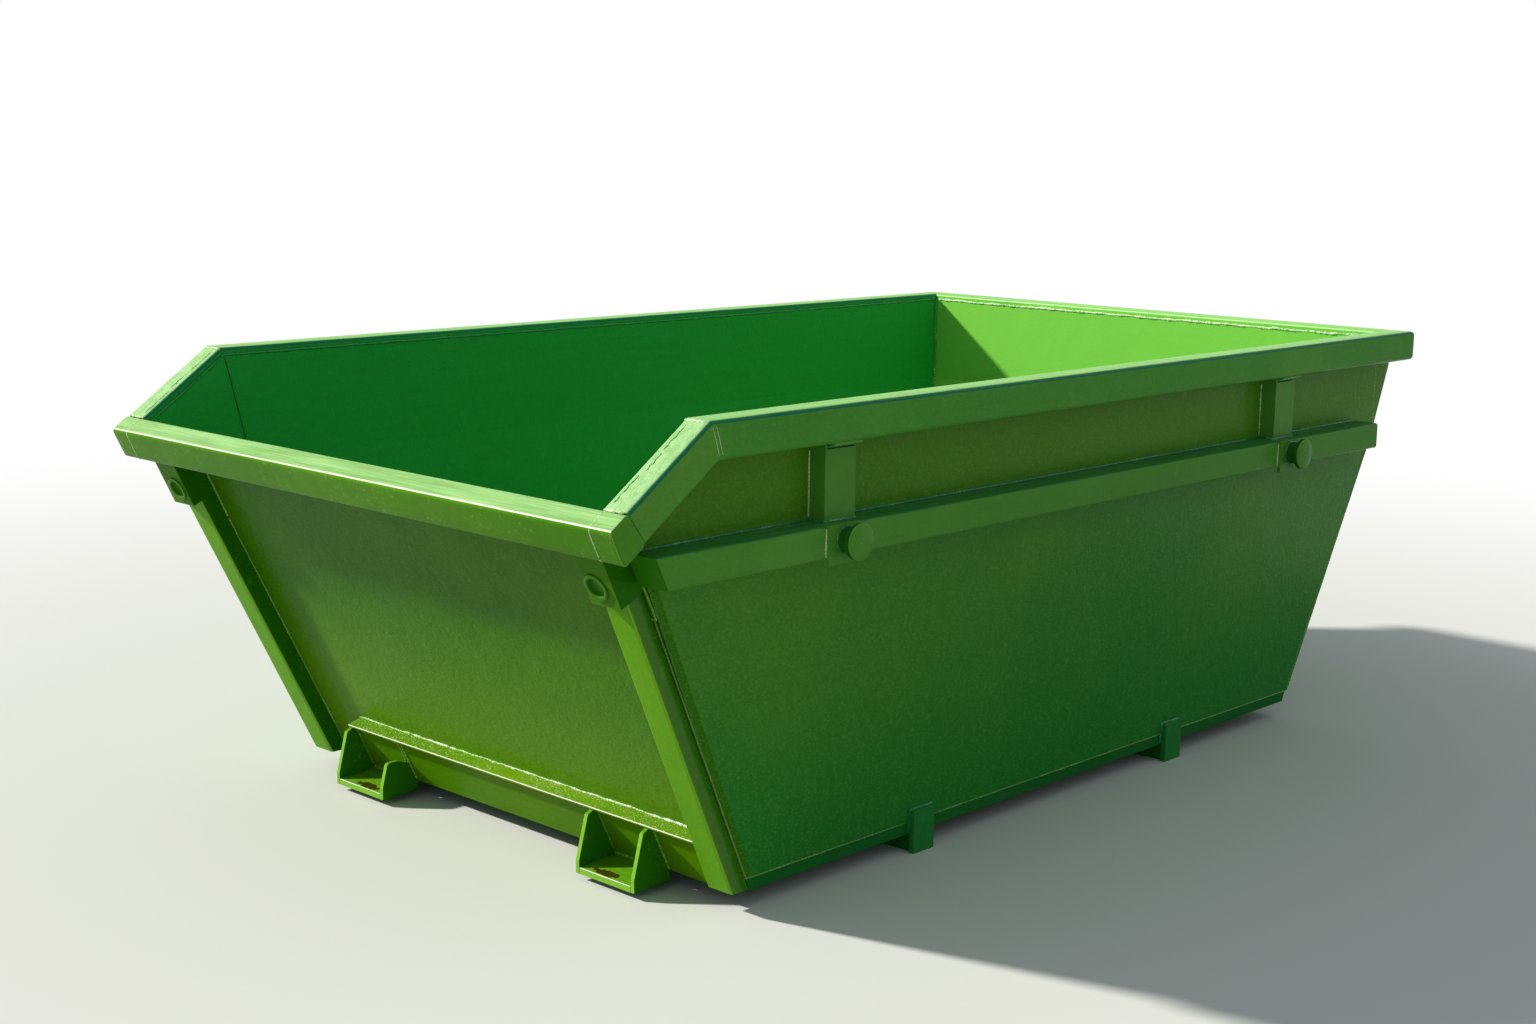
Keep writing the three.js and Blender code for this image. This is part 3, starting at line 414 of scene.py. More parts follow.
@dataclass(frozen=True)
class Run:
    """A hollow rolled section cut off by a plane at both ends, with the small dents of use.

    The corners are places along u and v from the origin, and the run goes along their cross
    product. Start and end are each a plane's direction and a point on it.
    """

    origin: np.ndarray
    u: np.ndarray
    v: np.ndarray
    corners: Sequence[Sequence[float]]
    radius: float
    wall: float
    start: tuple[np.ndarray, np.ndarray]
    end: tuple[np.ndarray, np.ndarray]
    dent: float = 0.0006
    step: float = 0.03
    closed_end: float = 0.0
    end_round: float = 0.003
    round_steps: int = 5
    dent_knots: tuple[int, int] = (5, 6)

    def surface(self, rng: np.random.Generator) -> Surface:
        """Works out the section's skin, its bore and its two ends.

        A point lies at origin plus its place in the outline, plus a share of the way between the
        two end planes along the run. The outside sinks in by smooth noise that is never outwards.

        Args:
            rng: Source of the dents.

        Returns:
            Points and faces of the closed tube or cup.
        """
        outer = section_outline(self.corners, self.radius)
        inner = section_outline(self.corners, max(self.radius - self.wall, LEAST_RADIUS), self.wall)
        columns = len(outer)
        way = np.cross(self.u, self.v)
        start, end = self._reach(outer, *self.start), self._reach(outer, *self.end)
        if self.closed_end:
            end = end - self.end_round
        rows = max(int(abs(float(np.mean(end - start))) / self.step), 2) + 1
        skin = self._skin(outer, start, end, rows, way)
        middle = outer.mean(axis=0)
        inwards = middle - outer
        inwards /= np.linalg.norm(inwards, axis=1)[:, None]
        along, around = self.dent_knots
        depth = np.outer(np.abs(smooth_noise(rows, along, rng)), np.abs(smooth_noise(columns, around, rng)))
        depth[[0, -1]] = 0
        sink = inwards[:, 0, None] * self.u + inwards[:, 1, None] * self.v
        skin = skin + self.dent * depth[:, :, None] * sink[None, :, :]
        if self.closed_end:
            skin = np.concatenate([skin, self._round(end, way)])
            rows = len(skin)
        bore_end = self._reach(inner, *self.end) - self.closed_end
        bore = self._skin(inner, self._reach(inner, *self.start), bore_end, 2, way)
        points = np.concatenate([skin.reshape(-1, 3), bore.reshape(-1, 3)])
        first = rows * columns
        faces = ring_faces(rows, columns).tolist()
        faces += ring_faces(2, columns, first)[:, ::-1].tolist()
        ring = np.arange(columns)
        after = (ring + 1) % columns
        faces += np.stack([ring, first + ring, first + after, after], axis=1).tolist()
        last, bore_last = first - columns, first + columns
        if self.closed_end:
            faces.append((last + ring).tolist())
            faces.append((bore_last + ring)[::-1].tolist())
        else:
            rim = [last + ring, last + after, bore_last + after, bore_last + ring]
            faces += np.stack(rim, axis=1).tolist()
        return points, faces

    def _reach(self, outline: np.ndarray, normal: np.ndarray, point: np.ndarray) -> np.ndarray:
        """How far along the run each line through the outline meets a plane.

        Args:
            outline: Places along u and v.
            normal: The plane's direction.
            point: A point on the plane.

        Returns:
            One distance for each point of the outline.
        """
        way = np.cross(self.u, self.v)
        base = self.origin + outline[:, :1] * self.u + outline[:, 1:] * self.v
        return ((np.asarray(point) - base) @ normal) / (way @ normal)

    def _round(self, end: np.ndarray, way: np.ndarray) -> np.ndarray:
        """Rings of the closed end's round edge: a quarter circle inwards and outwards along the run.

        Args:
            end: Where the round starts, for each point of the outline.
            way: Direction of the run.

        Returns:
            The rings, as an array of rows by columns by three.
        """
        rings = []
        for turn in np.linspace(0.0, np.pi / 2, self.round_steps + 1)[1:]:
            inset = self.end_round * (1 - math.cos(turn))
            outline = section_outline(self.corners, self.radius - inset, inset)
            reach = end + self.end_round * math.sin(turn)
            rings.append(self._skin(outline, reach, reach, 1, way)[0])
        return np.stack(rings)

    def _skin(self, outline: np.ndarray, start: np.ndarray, end: np.ndarray, rows: int,
              way: np.ndarray) -> np.ndarray:
        """Rings of an outline from start to end, rows by columns by three.

        Args:
            outline: Places along u and v.
            start: How far along the run each point starts.
            end: How far along the run each point ends.
            rows: Number of rings.
            way: Direction of the run.

        Returns:
            The rings.
        """
        base = self.origin + outline[:, :1] * self.u + outline[:, 1:] * self.v
        share = np.linspace(0.0, 1.0, rows)[:, None]
        reach = start[None, :] * (1 - share) + end[None, :] * share
        return base[None, :, :] + reach[:, :, None] * way


def turned(profile: Sequence[Sequence[float]], origin: np.ndarray, axis: np.ndarray,
           steps: int = 72) -> Surface:
    """A profile turned round an axis.

    The point at angle a and profile point (r, h) lies at origin plus h along the axis plus r
    times the direction that a gives round it.

    Args:
        profile: Radius and height of each point, from pole to pole.
        origin: Point of height zero on the axis.
        axis: Direction of growing height.
        steps: Parts of the turn.

    Returns:
        Points and faces, closed where the profile starts and ends.
    """
    outline = np.asarray(profile, float)
    axis = unit(axis)
    u = unit(np.cross(axis, np.eye(3)[int(np.argmin(np.abs(axis)))]))
    v = np.cross(axis, u)
    angle = np.linspace(0.0, 2 * np.pi, steps, endpoint=False)
    around = np.cos(angle)[:, None] * u + np.sin(angle)[:, None] * v
    points = origin + outline[:, 1][:, None, None] * axis + outline[:, 0][:, None, None] * around[None]
    faces = ring_faces(len(outline), steps).tolist()
    last = (len(outline) - 1) * steps
    faces.append(list(reversed(range(steps))))
    faces.append([last + i for i in range(steps)])
    return points.reshape(-1, 3), faces


def make_piece(name: str, surface: Surface, material: bpy.types.Material,
               replaces: Sequence[str] = (), sharp: float = 38.0) -> bpy.types.Object:
    """Makes one object of the skip and fixes it to the frame.

    Args:
        name: Name of the object.
        surface: Its points and faces.
        material: Its paint.
        replaces: CAD nodes that it stands for.
        sharp: Angle in degrees over which an edge stays sharp.

    Returns:
        The object.
    """
    points, faces = surface
    mesh = bpy.data.meshes.new(name)
    mesh.from_pydata(points.tolist(), [], faces)
    mesh.polygons.foreach_set("use_smooth", np.ones(len(mesh.polygons), bool))
    mesh.set_sharp_from_angle(angle=math.radians(sharp))
    mesh.materials.append(material)
    mesh.validate()
    piece = bpy.data.objects.new(name, mesh)
    bpy.context.scene.collection.objects.link(piece)
    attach(piece, BODY)
    if replaces:
        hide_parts(*replaces)
    log.info("%s: %d points, %d faces", name, len(points), len(faces))
    return piece


class Signal:
    """A shader socket that takes part in Python sums. Each sum adds one Math node."""

    def __init__(self, recipe: "Recipe", socket: bpy.types.NodeSocket) -> None:
        """Wraps a socket of a recipe's tree."""
        self.recipe = recipe
        self.socket = socket

    def _math(self, operation: str, first: Any, second: Any = None) -> "Signal":
        """One Math node on one or two values."""
        values = {0: first} if second is None else {0: first, 1: second}
        return self.recipe.node("ShaderNodeMath", {"operation": operation}, values)

    def __add__(self, other: Any) -> "Signal":
        """The sum."""
        return self._math("ADD", self, other)

    def __radd__(self, other: Any) -> "Signal":
        """The sum, with the socket second."""
        return self._math("ADD", other, self)

    def __sub__(self, other: Any) -> "Signal":
        """The difference."""
        return self._math("SUBTRACT", self, other)

    def __rsub__(self, other: Any) -> "Signal":
        """The difference, with the socket second."""
        return self._math("SUBTRACT", other, self)

    def __mul__(self, other: Any) -> "Signal":
        """The product."""
        return self._math("MULTIPLY", self, other)

    def __rmul__(self, other: Any) -> "Signal":
        """The product, with the socket second."""
        return self._math("MULTIPLY", other, self)

    def __truediv__(self, other: Any) -> "Signal":
        """The quotient."""
        return self._math("DIVIDE", self, other)

    def __pow__(self, other: Any) -> "Signal":
        """The power."""
        return self._math("POWER", self, other)

    def size(self) -> "Signal":
        """The value without its sign."""
        return self._math("ABSOLUTE", self)

    def largest(self, other: Any) -> "Signal":
        """The larger of two values."""
        return self._math("MAXIMUM", self, other)


class Recipe:
    """A node tree, with the few kinds of node that the looks are mixed from."""

    def __init__(self, owner: bpy.types.Material | bpy.types.World) -> None:
        """Starts an empty tree.

        Args:
            owner: What the tree belongs to.
        """
        owner.use_nodes = True
        self.owner = owner
        self.tree = owner.node_tree
        self.tree.nodes.clear()

    def node(self, kind: str, settings: dict[str, Any], values: dict[Any, Any],
             output: Any = 0) -> Signal:
        """Adds any node.

        Args:
            kind: Blender's name of the node's type.
            settings: Settings of the node, set first.
            values: Number, colour or Signal for each input, by name or number.
            output: Name or number of the output that is wanted.

        Returns:
            The wanted output.
        """
        made = self.tree.nodes.new(kind)
        for key, value in settings.items():
            setattr(made, key, value)
        for key, value in values.items():
            if isinstance(value, Signal):
                self.tree.links.new(value.socket, made.inputs[key])
            else:
                made.inputs[key].default_value = value
        return Signal(self, made.outputs[output])

    def parts(self, vector: Signal) -> tuple[Signal, Signal, Signal]:
        """The three parts of a vector."""
        split = self.node("ShaderNodeSeparateXYZ", {}, {0: vector}).socket.node
        return tuple(Signal(self, output) for output in split.outputs)

    def between(self, value: Signal, low: float, high: float) -> Signal:
        """0 at low, 1 at high, with an ease at both ends. High may be the smaller one.

        Args:
            value: What is measured.
            low: Value that gives 0.
            high: Value that gives 1.

        Returns:
            The share.
        """
        if high < low:
            return 1 - self.between(value, high, low)
        return self.node("ShaderNodeMapRange", {"interpolation_type": "SMOOTHSTEP"},
                         {"Value": value, "From Min": low, "From Max": high})

    def seen(self) -> Signal:
        """1 for rays that show a thing, straight or mirrored, and 0 for those that light others by it.

        Returns:
            The switch, 1 or 0.
        """
        camera, mirror = (self.node("ShaderNodeLightPath", {}, {}, f"Is {kind} Ray")
                          for kind in ("Camera", "Glossy"))
        return camera.largest(mirror)

    def output(self, shader: Signal) -> None:
        """Links a shader to the tree's output.

        Args:
            shader: The shader that ends the tree.
        """
        kind = "World" if isinstance(self.owner, bpy.types.World) else "Material"
        made = self.tree.nodes.new(f"ShaderNodeOutput{kind}")
        self.tree.links.new(shader.socket, made.inputs["Surface"])


class SurfaceRecipe(Recipe):
    """A material's node tree, which can tell the place on a piece and the way the surface faces."""

    def __init__(self, name: str) -> None:
        """Starts a material.

        Args:
            name: Name of the material.
        """
        super().__init__(bpy.data.materials.new(name))
        self.place = self.node("ShaderNodeTexCoord", {}, {}, "Object")
        self.x, self.y, self.z = self.parts(self.place)
        normal = self.node("ShaderNodeNewGeometry", {}, {}, "Normal")
        self.facing_x, self.facing_y, self.facing_up = self.parts(normal)
        self.sideways = self.facing_x.size()

    def noise(self, scale: float, detail: float = 2.0, rough: float = 0.5,
              stretch: Sequence[float] = (1.0, 1.0, 1.0)) -> Signal:
        """Smooth noise from 0 to 1.

        Args:
            scale: Blotches in a metre.
            detail: How many finer noises are added.
            rough: Share that each finer noise keeps of the one before.
            stretch: Scales along X, Y and Z.

        Returns:
            The noise.
        """
        place = self.node("ShaderNodeMapping", {}, {"Vector": self.place, "Scale": tuple(stretch)})
        values = {"Vector": place, "Scale": scale, "Detail": detail, "Roughness": rough}
        return self.node("ShaderNodeTexNoise", {}, values)

    def dots(self, scale: float, size: float) -> Signal:
        """1 in small round dots, one at most in each cell, and 0 between them."""
        cells = self.node("ShaderNodeTexVoronoi", {}, {"Vector": self.place, "Scale": scale}, "Distance")
        return self.between(cells, size, size * 0.5)

    def mixed(self, share: Any, first: Any, second: Any) -> Signal:
        """A colour between two colours.

        Args:
            share: 0 gives the first colour, 1 the second.
            first: One colour.
            second: The other colour.

        Returns:
            The mixed colour.
        """
        values = {key: (*value, 1.0) if isinstance(value, tuple) else value
                  for key, value in ((0, share), (6, first), (7, second))}
        return self.node("ShaderNodeMix", {"data_type": "RGBA"}, values, 2)

    def bump(self, height: Signal, distance: float, below: Signal | None = None) -> Signal:
        """A normal that leans with the slope of height times distance, over another normal.

        Args:
            height: Height from 0 to 1.
            distance: Metres that a height of 1 is.
            below: The normal that it leans from, if not the surface's own.

        Returns:
            The normal.
        """
        values = {"Height": height, "Distance": distance, "Strength": 1.0}
        if below is not None:
            values["Normal"] = below
        return self.node("ShaderNodeBump", {}, values)

    def finish(self, values: dict[str, Any]) -> bpy.types.Material:
        """Ends the tree in a Principled shader.

        Args:
            values: Values and links of the shader's sockets.

        Returns:
            The finished material.
        """
        self.output(self.node("ShaderNodeBsdfPrincipled", {}, values))
        return self.owner


# Scales of noise that is drawn out along one axis, where the scale is zero.
LONG = (1.0, 0.0, 1.0)
ACROSS = (0.0, 1.0, 1.0)
UPRIGHT = (1.0, 1.0, 0.0)

# Blotches in a metre of each noise.
DRIFT, SWELL, CLOUDS, STREAKS, HAIR = 1.3, 6.0, 9.0, 60.0, 420.0
PATCHES, BLOTCHES, RUST_GRAIN = 8.0, 30.0, 160.0
COARSE_PEEL, SHADED_PEEL, FINE_PEEL, SPECKS = 62.0, 110.0, 170.0, 230.0
BEAD_PATCHES, SPATTER, BEAD_PITS = 14.0, 210.0, 340.0

# Painted light on the round corners of pieces with a flank green: a painted highlight, then a painted sky
# reflection.
LIT_CORNER, SHADED_CORNER = linear(150, 208, 60), linear(8, 112, 84)
DARK_RUST, PALE_RUST, RUST_BLOT = linear(48, 24, 14), linear(124, 66, 34), linear(54, 24, 16)
# Pale of bare steel where the paint has flaked, and of painted sun glints on the tipping bar.
CHIP_AND_GLINT_PALE = linear(226, 236, 190)
WHITE = (1.0, 1.0, 1.0)


@dataclass(frozen=True)
class Paint:
    """Gloss green paint put on by brush and roller over steel, as it has aged on one kind of piece.

    Colour and drift are the two greens that it drifts between. Inside, low, high, flank, front,
    the round side of a pin and the band by the front wall are the greens of zones, and on several
    paints these are painted light, painted shade and painted shadow. The edge greens are a painted
    highlight and a painted sky reflection on round edges, and the top green is partly wear and
    partly painted light. Heights and distances are metres, and what is worn, flecked, rusty or
    edge-lit is a share from 0 to 1.
    """

    name: str
    colour: Colour
    drift: Colour
    inside: Colour | None = None
    low: Colour | None = None
    low_edge: tuple[float, float] = (0.62, 0.12)
    high: Colour | None = None
    high_edge: tuple[float, float] = (0.885, 0.925)
    flank: Colour | None = None
    front: Colour | None = None
    barrel_shade: Colour | None = None
    strip: Colour | None = None
    shaded_strip_edge: tuple[float, float] = (0.0225, 0.0215)
    # The top colour lies on upward faces, partly as wear and partly as painted light, which differs by paint.
    top: Colour = linear(160, 206, 140)
    # The edge colour, the inner edge colour, their share and the rim band are painted light on round edges: a
    # painted sky reflection where teal, a painted highlight where pale.
    edge: Colour = linear(14, 104, 78)
    grain: tuple[float, float, float] = (1.0, 1.0, 1.0)
    roughness: float = 0.30
    peel: float = 0.00022
    waves: float = 0.0025
    brush: float = 0.00030
    specks: float = 0.4
    ripple: float = 0.0
    shine: float = 0.05
    streaks: float = 0.12
    top_wear_and_sheen: float = 0.0
    edge_light_share: float = 0.0
    inner_edge_highlight: Colour = linear(214, 240, 196)
    rim: tuple[float, float] = (0.30, 0.76)
    chips_and_glints: float = 0.0
    fleck_scale: float = 75.0
    fleck_patches: float = 0.42
    rust: float = 0.0
    stain: bool = False
    stain_at: tuple[float, float] = (0.468, -1.243)
    stain_size: tuple[float, float] = (0.045, 0.016)

    def material(self) -> bpy.types.Material:
        """Mixes the paint.

        The colour drifts between two greens with wide noise. Faces that look into the skip take
        the inside colour, and the foot of a sheet the low colour; on several paints these and the
        other zones are painted light, painted shade and painted shadow. Streaks run along the grain,
        specks and pale flecks are thresholds of fine noise, and upward faces take the top colour in
        scratches along the grain, partly wear and partly painted light. The ripple is a painted
        reflection, and round edges take a painted highlight and a painted sky reflection. The bump
        sums orange peel, brush marks and wide waves.

        Returns:
            The material.
        """
        mix = SurfaceRecipe(self.name)
        wide, cloud = mix.noise(DRIFT), mix.noise(CLOUDS, 3.0, 0.55)
        streaks = mix.noise(STREAKS, 3.0, 0.6, self._drawn_out(0.05))
        outwards = mix.between(mix.x * mix.facing_x + mix.y * mix.facing_y, -0.06, -0.02)
        rough = self.roughness + (cloud - 0.5) * 0.12 + (streaks - 0.5) * 0.10
        colour = mix.mixed(mix.between(wide * 0.8 + cloud * 0.2, 0.38, 0.64), self.colour, self.drift)
        colour = self._zoned(mix, colour, wide, outwards)
        colour = self._dirtied(mix, colour, streaks, outwards)
        # Upward faces take the top colour: wear with a painted sheen on rails and lip, painted reflection on
        # belts, painted sunlight on pocket floors.
        if self.top_wear_and_sheen:
            worn_and_sheened = self._rubbed(mix, streaks)
            colour, rough = mix.mixed(worn_and_sheened, colour, self.top), rough + worn_and_sheened * 0.15
        # Painted highlight and painted sky reflection on the round edges.
        if self.edge_light_share:
            colour = mix.mixed(self._edges(mix) * self.edge_light_share, colour, self._edge_colour(mix))
        if self.rust:
            patch = mix.between(mix.noise(BLOTCHES, 6.0, 0.7), 0.58, 0.62)
            patch = patch * mix.between(mix.noise(PATCHES), 0.52, 0.6) * self.rust
            rusty = mix.mixed(mix.noise(RUST_GRAIN, 4.0), DARK_RUST, PALE_RUST)
            colour, rough = mix.mixed(patch, colour, rusty), rough + patch * 0.35
        if self.stain:
            colour = mix.mixed(self._blot(mix, wide) * 0.9, colour, RUST_BLOT)
        normal = self._relief(mix, wide, streaks)
        return mix.finish({"Base Color": colour, "Roughness": rough, "Normal": normal,
                           "Specular IOR Level": self.shine, "Coat Weight": 0.03, "Coat Roughness": 0.08})

    def _drawn_out(self, share: float) -> tuple[float, ...]:
        """Scales of noise that is drawn out along the grain to one over the share."""
        return tuple(axis or share for axis in self.grain)

    def _zoned(self, mix: SurfaceRecipe, colour: Signal, wide: Signal, outwards: Signal) -> Signal:
        """The colour with the greens of the zones that this paint tells apart, several of them painted light
        and shade.

        Args:
            mix: The material.
            colour: The colour so far.
            wide: Wide noise, which makes the low zone's edge uneven.
            outwards: 1 on faces that look away from the skip's middle.

        Returns:
            The new colour.
        """
        # The low green darkens the side sheets' feet as painted shade and lightens the front wall's foot as
        # painted sunlight.
        if self.low:
            foot = mix.between(mix.z + (wide - 0.5) * 0.4, *self.low_edge)
            colour = mix.mixed(foot * 0.85, colour, self.low)
        if self.high:
            colour = mix.mixed(mix.between(mix.z, *self.high_edge), colour, self.high)
        # The inside green is painted sunlight on the rear wall and painted shade on the brackets' and posts'
        # inner sides.
        if self.inside:
            colour = mix.mixed(outwards, self.inside, colour)
        # The flank green is painted shade on the sides of brackets and posts; round corners get a painted
        # highlight facing sideways and a painted sky reflection facing up.
        if self.flank:
            colour = mix.mixed(mix.between(mix.sideways, 0.80, 0.95) * outwards, colour, self.flank)
            corner = mix.between(mix.sideways, 0.25, 0.45) * mix.between(mix.sideways, 0.88, 0.75)
            lit = mix.mixed(mix.between(mix.facing_up, 0.2, 0.4), LIT_CORNER, SHADED_CORNER)
            colour = mix.mixed(corner * 0.9, colour, lit)
        # Painted shade on the round side of a pin.
        if self.barrel_shade:
            colour = mix.mixed(mix.between(mix.sideways, 0.45, 0.15), colour, self.barrel_shade)
        # Painted sunlight on faces that face the front.
        if self.front:
            colour = mix.mixed(mix.between(mix.facing_y, -0.80, -0.92), colour, self.front)
        # Painted shadow of the corner post on a side sheet's front edge, and painted shade on a post's sides
        # near the wall.
        if self.strip:
            cos, sin = math.cos(FORM.front_tilt), math.sin(FORM.front_tilt)
            behind = mix.y * cos + mix.z * sin - FORM.front_y(FORM.wall_set_back, 0.0) * cos
            strip = mix.between(behind, *self.shaded_strip_edge) * outwards * mix.between(mix.sideways, 0.80, 0.90)
            colour = mix.mixed(strip, colour, self.strip)
        return colour

    def _rubbed(self, mix: SurfaceRecipe, streaks: Signal) -> Signal:
        """How far upward faces take the top colour, in scratches along the grain: partly wear, partly painted
        light.

        Args:
            mix: The material.
            streaks: Noise drawn out along the grain.

        Returns:
            A share from 0 to 1.
        """
        hair = mix.noise(HAIR, 2.0, 0.6, self._drawn_out(0.015))
        scratch = mix.between(hair, 0.40, 0.66) * 0.35 + mix.between(streaks, 0.35, 0.62) * 0.3 + 0.45
        return mix.between(mix.facing_up, 0.45, 0.76) * scratch * self.top_wear_and_sheen

    def _edge_colour(self, mix: SurfaceRecipe) -> Signal:
        """The colour of the painted highlight and painted sky reflection on round edges, which differs inside
        the skip, on long rails on the near side only.

        Args:
            mix: The material.

        Returns:
            The colour.
        """
        inner, outward = self.inner_edge_highlight, mix.y * mix.facing_y
        if self.grain == LONG:
            inner = mix.mixed(mix.between(mix.x, -0.1, 0.1), self.edge, self.inner_edge_highlight)
            outward = mix.x * mix.facing_x
        return mix.mixed(mix.between(outward, -0.03, 0.03), inner, self.edge)

    def _blot(self, mix: SurfaceRecipe, wide: Signal) -> Signal:
        """1 in an uneven oval on the pockets' floors, where water stands.

        Args:
            mix: The material.
            wide: Wide noise, which makes the oval uneven.

        Returns:
            1 inside the oval, 0 outside.
        """
        across = (mix.x.size() - self.stain_at[0]) / self.stain_size[0]
        deep = (mix.y - self.stain_at[1] + (wide - 0.5) * 0.1) / self.stain_size[1]
        away = across * across + deep * deep + (mix.noise(STREAKS, 3.0) - 0.5) * 2.4
        return mix.between(away, 1.0, 0.8) * mix.between(mix.facing_up, 0.8, 0.9)

    def _relief(self, mix: SurfaceRecipe, wide: Signal, streaks: Signal) -> Signal:
        """The normal of waves, brush marks and orange peel, each on top of the one before.

        Args:
            mix: The material.
            wide: Wide noise of the longest waves.
            streaks: Noise drawn out along the grain.

        Returns:
            The normal.
        """
        normal = mix.bump(wide, self.waves * 4)
        normal = mix.bump(mix.noise(SWELL), self.waves, normal)
        normal = mix.bump(streaks, self.brush, normal)
        normal = mix.bump(mix.noise(COARSE_PEEL, 3.0, 0.6), self.peel * 1.6, normal)
        return mix.bump(mix.noise(FINE_PEEL, 2.0, 0.55), self.peel, normal)

    def _edges(self, mix: SurfaceRecipe) -> Signal:
        """Where the painted edge light lies: 1 on the round upper edges, on long rails by how far they face
        sideways, else by the rim.

        Args:
            mix: The material.

        Returns:
            A share from 0 to 1.
        """
        if self.grain == LONG:
            side = mix.facing_x * mix.facing_x
            level = mix.between(mix.facing_up, 0.02, 0.15)
            return mix.between(side, 0.12, 0.30) * mix.between(side, 0.96, 0.84) * level
        low, high = self.rim
        level = mix.between(mix.facing_up, low, low + 0.12) * mix.between(mix.facing_up, high, high - 0.10)
        return level * mix.between(mix.sideways, 0.30, 0.15)

    def _dirtied(self, mix: SurfaceRecipe, colour: Signal, streaks: Signal, outwards: Signal) -> Signal:
        """The colour with its streaks, dark pits, pale grains, a ripple of painted reflection off the orange
        peel, and pale flecks of bare steel and of painted sun glints.

        Args:
            mix: The material.
            colour: The colour so far.
            streaks: Noise drawn out along the grain.
            outwards: 1 on faces that look away from the skip's middle.

        Returns:
            The new colour.
        """
        darker = tuple(part * 0.6 for part in self.colour)
        paler = tuple(min(part * 1.5 + 0.02, 1.0) for part in self.drift)
        colour = mix.mixed(mix.between(streaks, 0.45, 0.72) * self.streaks, colour, darker)
        grains = mix.between(mix.noise(BLOTCHES, 5.0, 0.7), 0.54, 0.70) * self.streaks
        colour = mix.mixed(grains, colour, paler)
        pits = mix.dots(34.0, 0.07) * mix.between(mix.noise(3.0), 0.45, 0.60) * self.specks
        colour = mix.mixed(pits, colour, tuple(part * 0.25 for part in self.colour))
        # Painted reflection: the ripple paints the orange peel's glints and dips into the colour of outward
        # faces.
        if self.ripple:
            peel, amount = mix.noise(SHADED_PEEL, 3.0, 0.6, (1.0, 1.0, 1.6)), outwards * self.ripple
            colour = mix.mixed(mix.between(peel, 0.52, 0.64) * amount, colour, paler)
            colour = mix.mixed(mix.between(peel, 0.48, 0.36) * amount, colour, darker)
        pale = mix.between(mix.noise(SPECKS, 1.0), 0.68, 0.76) * self.specks * 0.7
        colour = mix.mixed(pale, colour, paler)
        # Pale flecks: bare steel where the paint has flaked, and on the tipping bar painted sun glints.
        if self.chips_and_glints:
            patch = mix.between(mix.noise(CLOUDS), self.fleck_patches, self.fleck_patches + 0.14)
            chip_and_glint = mix.between(mix.noise(self.fleck_scale, 4.0, 0.75), 0.58, 0.63) * patch
            colour = mix.mixed(chip_and_glint * self.chips_and_glints, colour, CHIP_AND_GLINT_PALE)
        return colour


@dataclass(frozen=True)
class BeadPaint:
    """Paint over a weld bead: the green of its neighbours, pale on the crests, partly from thin paint and
    partly as a painted highlight.
    """

    name: str
    colour: Colour
    crest: Colour
    share: float = 0.5
    roughness: float = 0.34

    def material(self) -> bpy.types.Material:
        """Mixes the paint: pale crests where fine noise is high, darker pits where it is low.

        Returns:
            The material.
        """
        mix = SurfaceRecipe(self.name)
        spatter = mix.noise(SPATTER, 3.0, 0.65)
        patches = mix.noise(BEAD_PATCHES, 3.0)
        level = mix.between(spatter * 0.6 + patches * 0.4, 0.62 - self.share * 0.25, 0.70 - self.share * 0.15)
        colour = mix.mixed(level, self.colour, self.crest)
        pits = mix.between(mix.noise(BEAD_PITS), 0.40, 0.28)
        colour = mix.mixed(pits * 0.5, colour, tuple(part * 0.45 for part in self.colour))
        normal = mix.bump(spatter, 0.0005)
        rough = self.roughness + (patches - 0.5) * 0.2
        return mix.finish({"Base Color": colour, "Roughness": rough, "Normal": normal,
                           "Specular IOR Level": 0.2, "Coat Weight": 0.1, "Coat Roughness": 0.15})


